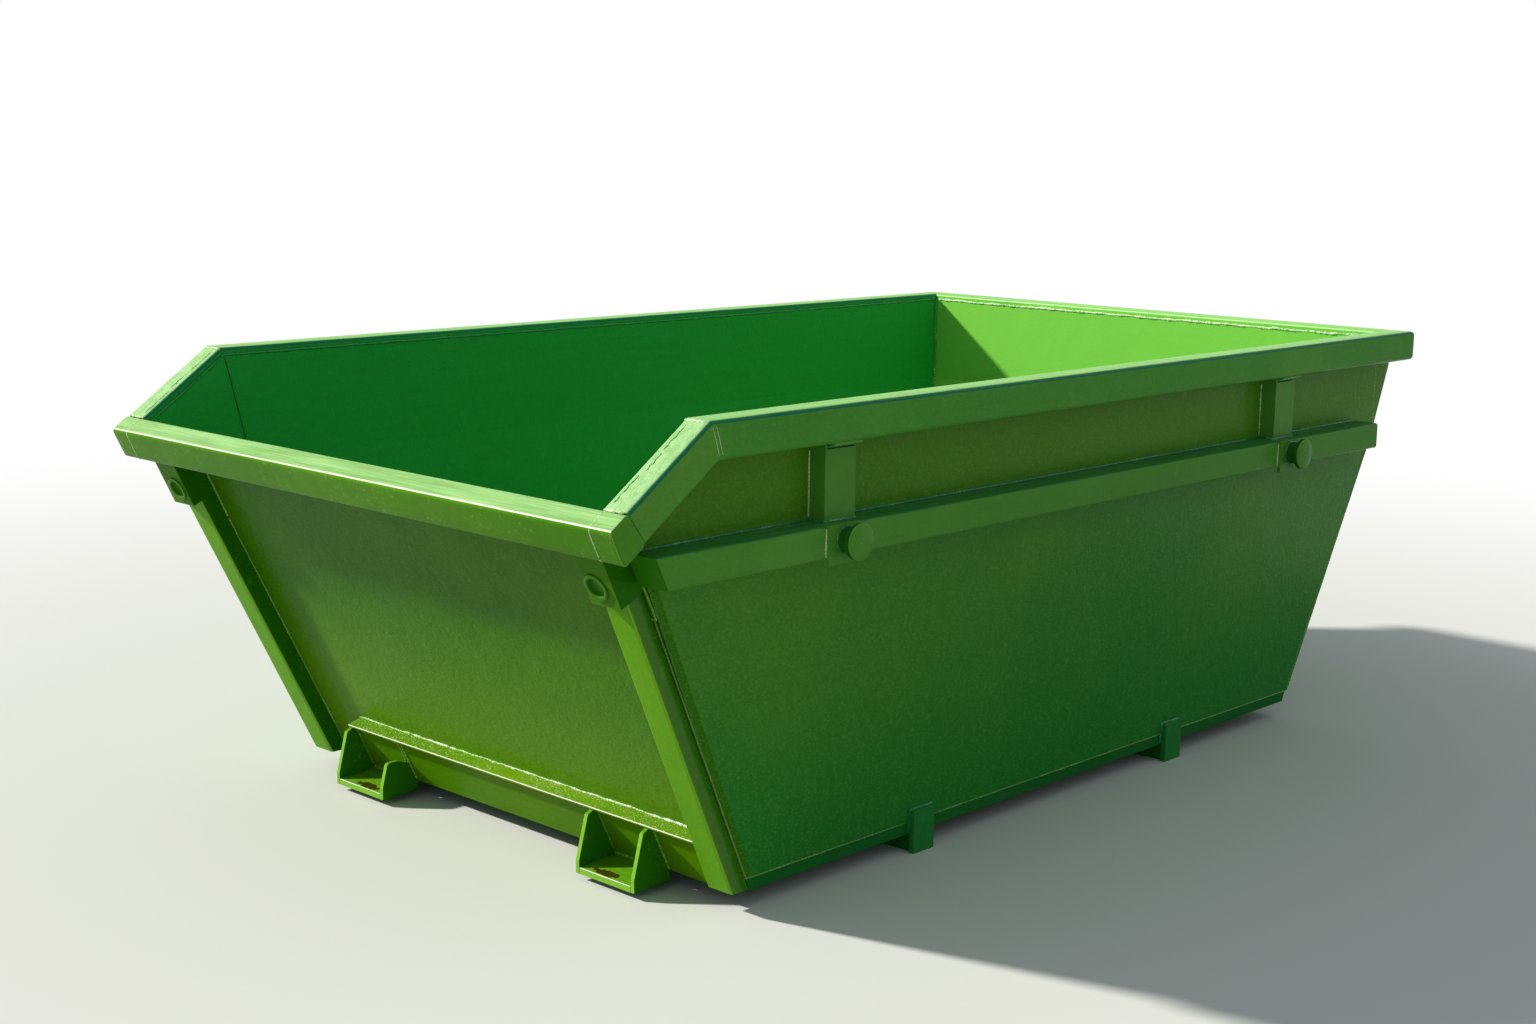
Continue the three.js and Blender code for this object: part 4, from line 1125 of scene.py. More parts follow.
PAINTS = {
    # Side sheet: the low green is painted shade, darker and greener towards the foot; the band by the front
    # wall is a painted shadow of the corner post; its ripple is a painted reflection.
    "side": Paint("side_sheet_green", linear(76, 146, 54), linear(90, 154, 50), inside=linear(42, 168, 70),
                  low=linear(16, 138, 46), low_edge=(0.84, 0.12), high=linear(86, 144, 26), grain=LONG,
                  peel=0.0007, ripple=0.26, strip=linear(56, 126, 8)),
    # Front wall: the lighter low green is painted sunlight on the wall's foot, below the lip's shade.
    "front": Paint("front_sheet_green", linear(58, 120, 2), linear(78, 134, 8), inside=linear(34, 160, 60),
                   low=linear(106, 156, 22), grain=UPRIGHT, peel=0.0008, ripple=0.18),
    # Rear wall: the light inside green is painted sunlight on the wall's inner face.
    "rear": Paint("rear_sheet_green", linear(72, 142, 22), linear(84, 148, 28), inside=linear(133, 213, 82),
                  grain=LONG, specks=0.1, streaks=0.0),
    "floor": Paint("floor_green", linear(24, 122, 38), linear(48, 122, 42), grain=LONG, roughness=0.5,
                   chips_and_glints=0.12, rust=0.7, top=linear(92, 142, 84), top_wear_and_sheen=0.4),
    # Rails: the pale top is wear with a painted sheen, the teal edge a painted sky reflection, the pale inner
    # edge a painted highlight.
    "rail": Paint("rail_green", linear(80, 158, 56), linear(98, 170, 62), inside=linear(34, 160, 66),
                  grain=LONG, top=linear(150, 212, 112), top_wear_and_sheen=0.95, edge=linear(8, 122, 88),
                  edge_light_share=0.9, roughness=0.26, ripple=0.10, shine=0.03),
    "slope": Paint("sloping_rail_green", linear(94, 160, 58), linear(108, 172, 64),
                   inside=linear(34, 160, 66), grain=LONG, top=linear(178, 220, 160), top_wear_and_sheen=0.95,
                   edge=linear(8, 122, 88), edge_light_share=0.9, roughness=0.26, ripple=0.10, shine=0.03),
    # Rear rail: the pale edge is a painted highlight, the pale top wear with a painted sheen.
    "rear_rail": Paint("rear_rail_green", linear(108, 192, 62), linear(122, 204, 70), grain=ACROSS,
                       top=linear(150, 216, 110), top_wear_and_sheen=0.5, edge=linear(200, 236, 170), edge_light_share=0.6),
    # Lip: the pale top is wear with a painted sheen, the white edge a painted highlight of the key lamp.
    "lip": Paint("lip_green", linear(72, 134, 2), linear(86, 146, 6), flank=linear(84, 156, 40),
                 grain=ACROSS, top=linear(164, 212, 138), top_wear_and_sheen=0.95, edge=linear(230, 246, 210),
                 edge_light_share=1.0, rim=(0.34, 0.72), roughness=0.24, chips_and_glints=0.12, ripple=0.06),
    # Bracket: the darker flank and inside greens are painted shade on its sides.
    "bracket": Paint("bracket_green", linear(72, 134, 6), linear(82, 142, 12), grain=ACROSS,
                     flank=linear(44, 124, 2), inside=linear(40, 114, 2), roughness=0.26, waves=0.001,
                     shine=0.02),
    # Belt: the dark teal top is a painted reflection of the shaded sheet above.
    "belt": Paint("belt_green", linear(84, 154, 54), linear(96, 164, 62), grain=LONG, roughness=0.26,
                  top=linear(12, 112, 62), top_wear_and_sheen=0.8, ripple=0.10, shine=0.03),
    "fitting": Paint("fitting_green", linear(84, 150, 50), linear(94, 160, 58), low=linear(20, 140, 62),
                     roughness=0.24, waves=0.001),
    # Pin: the darker round side is painted shade, the pale edge a painted highlight on the head.
    "pin": Paint("pin_green", linear(78, 148, 44), linear(90, 158, 52), barrel_shade=linear(38, 104, 26),
                 grain=LONG, edge=linear(150, 206, 120), edge_light_share=0.6, roughness=0.24, waves=0.001),
    "socket": Paint("socket_green", linear(60, 126, 20), linear(72, 136, 26), roughness=0.24, waves=0.001),
    # Post: the flank and inside greens are painted shade on its sides, darker still near the wall.
    "post": Paint("post_green", linear(96, 166, 0), linear(112, 178, 4), flank=linear(84, 140, 54),
                  inside=linear(36, 112, 4), grain=UPRIGHT, strip=linear(46, 120, 8),
                  shaded_strip_edge=(-0.026, -0.012), waves=0.002, ripple=0.08),
    # Bar: the white edge is a painted highlight, the pale flecks painted sun glints.
    "bar": Paint("bar_green", linear(92, 138, 4), linear(110, 152, 16), grain=ACROSS, specks=0.3,
                 edge=linear(236, 246, 212), edge_light_share=1.0, rim=(-0.32, 0.86), chips_and_glints=0.85,
                 fleck_scale=240.0, fleck_patches=0.30, peel=0.0007, roughness=0.42, shine=0.01),
    # Pocket: the light front green is painted sunlight on front faces, the top green painted sunlight on the
    # floors.
    "pocket": Paint("pocket_green", linear(46, 122, 10), linear(62, 132, 18), front=linear(130, 190, 56),
                    waves=0.001, grain=ACROSS, top=linear(116, 170, 24), top_wear_and_sheen=0.9, chips_and_glints=0.2, rust=0.6,
                    stain=True),
    # Gusset caps: a lighter green, a painted highlight on their lit edge.
    "shelf": Paint("shelf_highlight_green", linear(120, 176, 84), linear(128, 184, 92), waves=0.001),
    # Belt caps: a darker green, painted shade under the lip's end.
    "cap": Paint("cap_shade_green", linear(46, 122, 8), linear(56, 130, 12), waves=0.001, shine=0.01),
    "beam": Paint("beam_green", linear(84, 138, 2), linear(98, 146, 4), shine=0.02, grain=ACROSS, waves=0.001,
                  rust=0.2, ripple=0.12),
    "under": Paint("underside_green", linear(16, 110, 36), linear(30, 120, 40), roughness=0.42, rust=0.3),
}
# The teal beads are a painted sky reflection on welds in shade, the white one a painted highlight along the
# pockets' arris, and the bright ones partly a painted highlight.
BEADS = {
    "green": BeadPaint("bead_green", linear(70, 148, 44), linear(146, 200, 116), share=0.5),
    "bright": BeadPaint("bead_bright", linear(124, 184, 92), linear(216, 238, 190), share=0.9),
    "teal": BeadPaint("bead_teal", linear(34, 128, 76), linear(110, 190, 154), share=0.5),
    "front": BeadPaint("bead_front", linear(96, 164, 26), linear(186, 216, 120), share=0.45),
    "fine": BeadPaint("bead_fine", linear(140, 198, 104), linear(224, 244, 200), share=0.8),
    "white": BeadPaint("bead_white", linear(182, 216, 150), linear(250, 252, 242), share=0.9),
    "fleck": BeadPaint("bead_flecked", linear(132, 186, 70), linear(250, 252, 240), share=0.62),
    # Painted shadow of the corner post, on the bead at a side sheet's front edge.
    "strip": BeadPaint("bead_strip", linear(56, 126, 8), linear(62, 130, 14), share=0.3),
    "lap": BeadPaint("bead_lap", linear(30, 140, 62), linear(52, 160, 84), share=0.4),
    "pair": BeadPaint("bead_pair", linear(112, 168, 70), linear(140, 188, 100), share=0.5),
    "dark": BeadPaint("bead_dark", linear(54, 118, 38), linear(66, 130, 44), share=0.3),
    "seam": BeadPaint("bead_seam", linear(8, 76, 30), linear(16, 100, 40), share=0.3),
}


@dataclass
class Studio:
    """Camera, lamp, sky and floor."""

    place: tuple[float, float, float] = (4.0206, -4.4614, 1.7770)
    yaw: float = math.radians(43.39)
    pitch: float = math.radians(10.37)
    roll: float = math.radians(0.85)
    lens: float = 50.11
    sensor: float = 36.0
    sun_from: tuple[float, float, float] = (-0.695, -0.474, 0.541)
    sun: float = 4.4
    sun_size: float = math.radians(3.0)
    sun_colour: Colour = (1.0, 0.97, 0.87)
    sky: float = 0.36
    sky_colour: Colour = (0.88, 0.98, 1.0)
    floor_colour: Colour = (0.76, 0.76, 0.75)
    yard_colour: Colour = (0.42, 0.42, 0.41)
    fade: tuple[float, float] = (2.2, 6.5)
    floor_rings: tuple[float, ...] = (0.5, 2.0, 6.0, 20.0, 60.0)
    floor_spokes: int = 96

    def build(self) -> None:
        """Sets up the camera, the light and the floor."""
        self._camera()
        self._lights()
        self._floor()
        bpy.context.scene.view_settings.view_transform = "Standard"

    def _camera(self) -> None:
        """Stands the camera where the photographer stood, level but for a small roll."""
        level = np.array([math.cos(self.yaw), math.sin(self.yaw), 0.0])
        forwards = np.array([-math.sin(self.yaw), math.cos(self.yaw), 0.0])
        ahead = forwards * math.cos(self.pitch) - Z * math.sin(self.pitch)
        up = np.cross(level, ahead)
        right = math.cos(self.roll) * level + math.sin(self.roll) * up
        above = -math.sin(self.roll) * level + math.cos(self.roll) * up
        data = bpy.data.cameras.new("camera")
        data.lens, data.sensor_width = self.lens, self.sensor
        camera = bpy.data.objects.new("camera", data)
        turn = Matrix(np.stack([right, above, -ahead], axis=1).tolist()).to_4x4()
        camera.matrix_world = Matrix.Translation(self.place) @ turn
        bpy.context.scene.collection.objects.link(camera)
        bpy.context.scene.camera = camera

    def _lights(self) -> None:
        """Hangs one soft key lamp at the front left and an even pale sky all round."""
        data = bpy.data.lights.new("key", "SUN")
        data.energy, data.angle, data.color = self.sun, self.sun_size, self.sun_colour
        key = bpy.data.objects.new("key", data)
        key.rotation_mode = "QUATERNION"
        key.rotation_quaternion = Vector(self.sun_from).to_track_quat("Z", "Y")
        bpy.context.scene.collection.objects.link(key)
        world = bpy.data.worlds.new("sky")
        recipe = Recipe(world)
        soft, white = (recipe.node("ShaderNodeBackground", {}, {"Color": (*colour, 1.0), "Strength": power})
                       for colour, power in ((self.sky_colour, self.sky), (WHITE, 1.0)))
        recipe.output(recipe.node("ShaderNodeMixShader", {}, {0: recipe.seen(), 1: soft, 2: white}))
        bpy.context.scene.world = world

    def _floor(self) -> None:
        """Lays a pale round floor that fades to white away from the skip.

        The light that it throws up on the skip is that of a yard, which is darker than it looks.
        """
        recipe = SurfaceRecipe("floor_pale")
        away = (recipe.x * recipe.x + recipe.y * recipe.y) ** 0.5
        seen = recipe.seen()
        yard, pale = (recipe.node("ShaderNodeBsdfDiffuse", {}, {"Color": (*colour, 1.0)})
                      for colour in (self.yard_colour, self.floor_colour))
        matt = recipe.node("ShaderNodeMixShader", {}, {0: seen, 1: yard, 2: pale})
        white = recipe.node("ShaderNodeEmission", {}, {"Color": (*WHITE, 1.0), "Strength": 1.0})
        share = recipe.between(away, *self.fade) * seen
        recipe.output(recipe.node("ShaderNodeMixShader", {}, {0: share, 1: matt, 2: white}))
        angle = np.linspace(0.0, 2 * np.pi, self.floor_spokes, endpoint=False)
        rings = np.array(self.floor_rings)
        points = np.stack([np.outer(rings, np.cos(angle)), np.outer(rings, np.sin(angle)),
                           np.zeros((len(rings), len(angle)))], axis=-1).reshape(-1, 3)
        faces = ring_faces(len(rings), len(angle))[:, ::-1].tolist() + [list(range(len(angle)))]
        mesh = bpy.data.meshes.new("floor_pale")
        mesh.from_pydata(points.tolist(), [], faces)
        mesh.materials.append(recipe.owner)
        floor = bpy.data.objects.new("floor_pale", mesh)
        bpy.context.scene.collection.objects.link(floor)
        floor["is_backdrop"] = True


@dataclass
class Workshop:
    """What the sub-assemblies share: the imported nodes, the mixed paints and the random numbers."""

    nodes: dict[str, bpy.types.Object]
    box: tuple[Any, Any]
    paints: dict[str, bpy.types.Material] = field(default_factory=dict)
    beads: dict[str, bpy.types.Material] = field(default_factory=dict)
    rng: np.random.Generator = field(default_factory=lambda: np.random.default_rng(20))

    def mix(self) -> None:
        """Mixes every paint once."""
        self.paints = {key: paint.material() for key, paint in PAINTS.items()}
        self.beads = {key: paint.material() for key, paint in BEADS.items()}

    def coat(self, paint: str, *names: str, bevel: float = 0.0008) -> None:
        """Paints CAD nodes and breaks their sharp edges.

        Args:
            paint: Key of the paint.
            names: The nodes.
            bevel: Width of the broken edge.
        """
        for name in names:
            node = self.nodes[name]
            node.data.materials.clear()
            node.data.materials.append(self.paints[paint])
            weld = node.modifiers.new("merge", "WELD")
            weld.merge_threshold = MERGE_DISTANCE
            edge = node.modifiers.new("edge", "BEVEL")
            edge.width, edge.segments, edge.limit_method = bevel, 2, "ANGLE"
            edge.angle_limit = LEAST_ARRIS

    def weld(self, name: str, beads: Sequence[Bead], paint: str, slot: Slot) -> None:
        """Makes one piece of several runs of weld, pressed flat where they'd leave the CAD box.

        Args:
            name: Name of the piece.
            beads: The runs.
            paint: Key of their paint.
            slot: The record's slot that the paint stands for; not used.
        """
        points, faces = joined(bead.surface(self.rng) for bead in beads)
        low, high = (np.asarray(corner, float) for corner in self.box)
        points = np.clip(points, low + BOX_CLEARANCE, high - BOX_CLEARANCE)
        make_piece(name, (points, faces), self.beads[paint], sharp=75.0)

    def run(self, name: str, run: Run, paint: str) -> None:
        """Makes a rolled section in place of the CAD node of the same name."""
        surface = run.surface(self.rng)
        make_piece(f"{name}_section", surface, self.paints[paint], [name], sharp=50.0)


def box_corners(low: Sequence[float], high: Sequence[float]) -> list[tuple[float, float]]:
    """The four corners of a rectangle, anticlockwise."""
    return [(high[0], high[1]), (low[0], high[1]), (low[0], low[1]), (high[0], low[1])]


def mirrored(side: Side, low: float, high: float) -> tuple[float, float]:
    """A range of X on one side, lowest first."""
    return (low, high) if side is Side.NEAR else (-high, -low)


@dataclass
class Rim:
    """Top rails, sloping rails, rear rail and pouring lip, with their weld beads."""

    form: SkipForm = FORM
    lip_trim: float = 0.0001
    lip_end_dent: float = 0.0003
    lip_end_step: float = 0.010
    ring_sink: float = 0.0013
    ring_step: float = 0.0025
    line_sink: float = 0.0004
    line_stop: float = 0.010
    bend_line: tuple[tuple[float, float], tuple[float, float]] = ((-0.012, 0.0038), (-0.076, 0.0242))
    bend_lines_apart: float = 0.011
    cross_rough: float = 0.35
    scrapes: tuple[tuple[float, float, float], ...] = ((0.02, 0.10, 0.0), (0.11, 0.17, 0.004),
                                                       (0.18, 0.27, -0.003))
    scrape_inset: float = 0.021
    scrape_sway: float = 0.002
    scrape_turn: float = 9.0
    scrape_sink: float = 0.0006
    scrape_points: int = 7
    lap_share: float = 0.7
    mitre_sink: float = 0.0045

    def build(self, shop: Workshop) -> None:
        """Makes the sections and their beads.

        Args:
            shop: What the sub-assemblies share.
        """
        for side in Side:
            self._side_rails(shop, side)
        self._rear_rail(shop)
        self._lip(shop)
        self._welds(shop)

    def _side_rails(self, shop: Workshop, side: Side) -> None:
        """The level and the sloping rail of one side, met in a mitre at the bend.

        Args:
            shop: What the sub-assemblies share.
            side: The side.
        """
        form = self.form
        x0, x1 = mirrored(side, form.rail_inner, form.width / 2)
        half = form.slope / 2
        mitre = np.array([0.0, math.cos(half), math.sin(half)])
        corner = unit([-side.value, 1.0, 0.0])
        rear_point = np.array([side.value * form.width / 2, form.length / 2, 0.0]) - corner * form.gap / 2
        level = Run(np.zeros(3), Z, X, box_corners((form.height - form.rail_depth, x0), (form.height, x1)),
                    form.rail_corner, form.rail_wall, (mitre, form.bend + mitre * form.gap / 2),
                    (corner, rear_point))
        shop.run(f"top_rail_{side.label}", level, "rail")
        up = form.on_slope(0.0, 1.0, 0.0) - form.bend
        down = form.on_slope(0.0, 0.0, 1.0) - form.bend
        end = form.on_slope(0.0, 0.0, form.slope_length - form.lip_depth - form.gap)
        sloping = Run(form.bend, X, up, box_corners((x0, -form.rail_depth), (x1, 0.0)), form.rail_corner,
                      form.rail_wall, (mitre, form.bend - mitre * form.gap / 2), (down, end))
        shop.run(f"sloping_rail_{side.label}", sloping, "slope")

    def _rear_rail(self, shop: Workshop) -> None:
        """The rail across the back, mitred at both ends.

        Args:
            shop: What the sub-assemblies share.
        """
        form = self.form
        near, far = unit([-1.0, 1.0, 0.0]), unit([1.0, 1.0, 0.0])
        x1, y1, z1 = form.width / 2, form.length / 2, form.height
        section = box_corners((y1 - form.rail_width, z1 - form.rail_depth), (y1, z1))
        rail = Run(np.zeros(3), Y, Z, section, form.rail_corner, form.rail_wall,
                   (far, np.array([-x1, y1, 0.0]) + far * form.gap / 2),
                   (near, np.array([x1, y1, 0.0]) + near * form.gap / 2))
        shop.run("rear_rail", rail, "rear_rail")

    def _lip_corners(self) -> list[tuple[float, float]]:
        """Y and Z of the lip's section: bottom front, bottom rear, top rear, top front.

        Returns:
            The four corners.
        """
        form = self.form
        rear, front = form.slope_length - form.lip_depth, form.slope_length - self.lip_trim
        front_low = front + math.tan(form.slope - form.front_tilt) * form.rail_depth
        points = [(-form.rail_depth, front_low), (-form.rail_depth, rear), (0.0, rear), (0.0, front)]
        return [tuple(form.on_slope(0.0, rise, down)[1:]) for rise, down in points]

    def _lip(self, shop: Workshop) -> None:
        """The lip's tube and the short closed pieces at its ends.

        Args:
            shop: What the sub-assemblies share.
        """
        form = self.form
        corners = self._lip_corners()
        edge = form.width / 2 - form.lip_end
        tube = Run(np.zeros(3), Y, Z, corners, form.rail_corner, form.rail_wall,
                   (X, -X * edge), (X, X * edge))
        shop.run("lip_tube", tube, "lip")
        for side in Side:
            sign = side.value
            section = corners if side is Side.NEAR else [(z, y) for y, z in corners[::-1]]
            u, v = (Y, Z) if side is Side.NEAR else (Z, Y)
            end = Run(np.zeros(3), u, v, section, form.rail_corner, form.rail_wall,
                      (X, X * sign * (edge + form.gap)), (X, X * sign * form.width / 2),
                      dent=self.lip_end_dent, step=self.lip_end_step, closed_end=form.rail_wall)
            shop.run(f"lip_end_{side.label}", end, "lip")

    def _welds(self, shop: Workshop) -> None:
        """Beads at the lip, the bend, the rear corners and along the lapped sheets.

        Args:
            shop: What the sub-assemblies share.
        """
        form = self.form
        seams, bright, fine, dark, laps = [], [], [], [], []
        behind = form.slope_length - form.lip_depth
        skin = form.width / 2 - self.line_sink
        for side in Side:
            sign = side.value
            fine.append(self._lip_ring(sign))
            bright.append(self._crossing(sign, Gauge.LOWER, 2 * STOP, -0.0018, behind))
            dark.append(Bead([form.on_slope(sign * skin, rise, behind)
                              for rise in (-form.rail_corner, self.line_stop - form.rail_depth)], Gauge.LINE))
            bright.append(self._crossing(sign, Gauge.BEND, STOP, -0.0022, 3 * STOP))
            for start, end, shift in self.scrapes:
                seams.append(self._scrape(sign, start, end, shift))
            for shift in (0.0, self.bend_lines_apart):
                fine.append(Bead([form.on_slope(sign * skin, rise, down) + Y * shift
                                  for rise, down in self.bend_line], Gauge.LINE))
            laps.extend(self._laps(sign, behind))
            seams.extend(self._seams(sign, behind))
        # The pale bead along the rear sheet's lap is partly a painted highlight of the lit inner edge.
        lap = np.array([0.0, form.length / 2 - form.rail_width - form.sheet * self.lap_share,
                        form.height - form.sheet_drop])
        reach = X * (form.rail_inner - 2 * STOP)
        bright.append(Bead([lap - reach, lap + reach], Gauge.WIDE, rough=0.3))
        shop.weld("rim_welds", seams, "green", Slot.RAIL)
        shop.weld("rim_fine_welds", fine, "fine", Slot.RAIL)
        shop.weld("rim_dark_seams", dark, "dark", Slot.RAIL)
        shop.weld("rim_bright_welds", bright, "bright", Slot.RAIL)
        shop.weld("rim_lap_welds", laps, "lap", Slot.RAIL)

    def _lip_ring(self, sign: float) -> Bead:
        """The bead round the lip, between its tube and one end.

        Args:
            sign: Sign of X on this side.

        Returns:
            The bead.
        """
        sink = self.ring_sink
        outline = section_outline(self._lip_corners(), self.form.rail_corner - sink, sink)
        edge = self.form.width / 2 - self.form.lip_end
        ring = [(sign * edge, *point) for point in (*outline, outline[0])]
        return Bead(ring, Gauge.FINE, step=self.ring_step)

    def _crossing(self, sign: float, radius: Gauge, inset: float, rise: float, down: float) -> Bead:
        """A bead across the top of a sloping rail, as far as the round of its outer edge.

        Args:
            sign: Sign of X on this side.
            radius: Radius of the bead.
            inset: How far it starts from the rail's inner face.
            rise: Place of its middle square to the rail's top.
            down: How far it lies down the slope.

        Returns:
            The bead.
        """
        ends = (self.form.rail_inner + inset, self.form.width / 2 - self.form.rail_corner)
        return Bead([self.form.on_slope(sign * x, rise, down) for x in ends], radius, rough=self.cross_rough)

    def _scrape(self, sign: float, start: float, end: float, shift: float) -> Bead:
        """A crooked pale scrape down the middle of a sloping rail, from start to end.

        Args:
            sign: Sign of X on this side.
            start: How far down the slope it starts.
            end: How far down the slope it ends.
            shift: How far it is moved outwards across the rail.

        Returns:
            The scrape, as a thin bead.
        """
        middle = self.form.rail_inner + self.scrape_inset + shift
        last = self.scrape_points - 1
        sway = [self.scrape_sway * math.sin(self.scrape_turn * k) for k in range(self.scrape_points)]
        path = [self.form.on_slope(sign * (middle + aside), -self.scrape_sink,
                                   start + (end - start) * k / last) for k, aside in enumerate(sway)]
        return Bead(path, Gauge.SCRAPE, rough=0.4, ripple=0.3)

    def _laps(self, sign: float, behind: float) -> list[Bead]:
        """The beads on a side sheet's edge where it laps the rails, as far as the lip.

        Args:
            sign: Sign of X on this side.
            behind: How far down the slope the lip's rear face lies.

        Returns:
            The level bead and the sloping one.
        """
        form = self.form
        x, drop = sign * (form.rail_inner - form.sheet * self.lap_share), form.height - form.sheet_drop
        bend = form.bend[1] + form.sheet_drop * math.tan(form.slope / 2)
        level = [(x, form.length / 2 - form.rail_width - 3 * STOP, drop), (x, bend, drop)]
        sloping = [form.on_slope(x, -form.sheet_drop, down) for down in (0.0, behind)]
        return [Bead(level, Gauge.FULL, rough=0.22), Bead(sloping, Gauge.PLAIN, rough=0.22)]

    def _seams(self, sign: float, behind: float) -> list[Bead]:
        """The beads under the rails of one side, and the one on the mitre's outer edge at the rear.

        Args:
            sign: Sign of X on this side.
            behind: How far down the slope the lip's rear face lies.

        Returns:
            The level bead, the sloping one and the mitre's.
        """
        form = self.form
        x = sign * (form.side_x(form.height) + OFF)
        lower = -form.rail_depth - OFF / 2
        level = [(x, y, form.height + lower) for y in (form.bend[1] - 5 * STOP, form.length / 2 - 2 * STOP)]
        sloping = [form.on_slope(x, lower, down) for down in (6 * STOP, behind)]
        mitre = [(sign * (form.width / 2 - self.mitre_sink), form.length / 2 - self.mitre_sink, z)
                 for z in (form.height - form.rail_corner, form.height - form.rail_depth + self.line_stop)]
        return [Bead(level, Gauge.SEAM), Bead(sloping, Gauge.SEAM), Bead(mitre, Gauge.THIN)]


@dataclass
class Shell:
    """Floor, walls, side sheets, sills and foot bearers, and the seams between the sheets."""

    form: SkipForm = FORM
    floor_top: float = 0.0055
    seam_proud: float = 0.0006
    seam_step: float = 0.006
    edge_sink: float = 0.0009
    wall_top: float = 0.90
    corner_top: float = 0.955
    seam_lean: float = math.radians(14.5)

    def build(self, shop: Workshop) -> None:
        """Paints the sheets and lays their seams.

        Args:
            shop: What the sub-assemblies share.
        """
        shop.coat("side", "side_panel_near", "side_panel_far")
        shop.coat("front", "front_wall")
        shop.coat("rear", "rear_wall")
        shop.coat("floor", "floor_sheet")
        shop.coat("under", "sill_near", "sill_far", "foot_bearer_front", "foot_bearer_rear", bevel=0.001)
        self._welds(shop)

    def _welds(self, shop: Workshop) -> None:
        """Beads inside and outside along the edges of the sheets.

        Args:
            shop: What the sub-assemblies share.
        """
        form = self.form
        inside, outside, seams, edges = [], [], [], []
        floor, rim = form.floor + self.floor_top, form.height - form.sheet_drop
        front, wall = form.wall_set_back + form.sheet, form.wall_set_back
        low_front, low_rear = form.front_y(front, floor), form.rear_y(floor) - form.sheet
        for side in Side:
            sign = side.value
            inside.append(Bead([(self._inner_x(side, floor), y, floor)
                                for y in (low_front + STOP, low_rear - STOP)], Gauge.PLAIN))
            inside.append(Bead([(self._inner_x(side, z), form.front_y(front, z) + OFF, z)
                                for z in (floor, form.fold, self.corner_top)], Gauge.LOWER))
            inside.append(Bead([(self._inner_x(side, z), form.rear_y(z) - form.sheet - OFF, z)
                                for z in (floor, form.fold, rim - 2 * STOP)], Gauge.CORNER))
            seam = [(self._inner_x(side, z) + sign * self.seam_proud, self._seam_y(z), z)
                    for z in (rim - 3 * STOP, form.fold, floor + 2 * STOP)]
            seams.append(Bead(seam, Gauge.BUTT, rough=0.3, step=self.seam_step))
            edge = [(sign * (form.side_x(z) - self.edge_sink), form.front_y(wall, z) + self.edge_sink, z)
                    for z in (form.floor, form.fold, self.wall_top)]
            edges.append(Bead(edge, Gauge.EDGE, rough=0.02, ripple=0.02))
            low = form.floor - OFF / 2
            foot = [(sign * (form.side_x(low) - OFF), y, low)
                    for y in (form.front_y(wall, low) + 2 * STOP, form.rear_y(low) - 2 * STOP)]
            outside.append(Bead(foot, Gauge.THIN))
            outside.append(Bead([(sign * form.side_x(z), form.rear_y(z), z) for z in (form.floor, form.fold)],
                                Gauge.OUTER))
        reach = form.side_x(floor) - 3 * STOP
        for end in (low_front + OFF, low_rear - OFF):
            inside.append(Bead([(-reach, end, floor), (reach, end, floor)], Gauge.PLAIN))
        shop.weld("shell_inner_welds", inside, "green", Slot.SHEET)
        shop.weld("shell_outer_welds", outside, "green", Slot.SHEET)
        shop.weld("shell_butt_seams", seams, "seam", Slot.SHEET)
        # The front edge beads take the painted shadow of the corner post.
        shop.weld("shell_front_seams", edges, "strip", Slot.SHEET)

    def _inner_x(self, side: Side, z: float) -> float:
        """X of a bead's middle on the inner face of a side sheet, at height z."""
        return side.value * (self.form.side_x(z) - self.form.sheet - OFF)

    def _seam_y(self, z: float) -> float:
        """Y of the butt seam in a side sheet, which leans back from the bend of the rails."""
        return float(self.form.bend[1]) + (self.form.height - z) * math.tan(self.seam_lean)


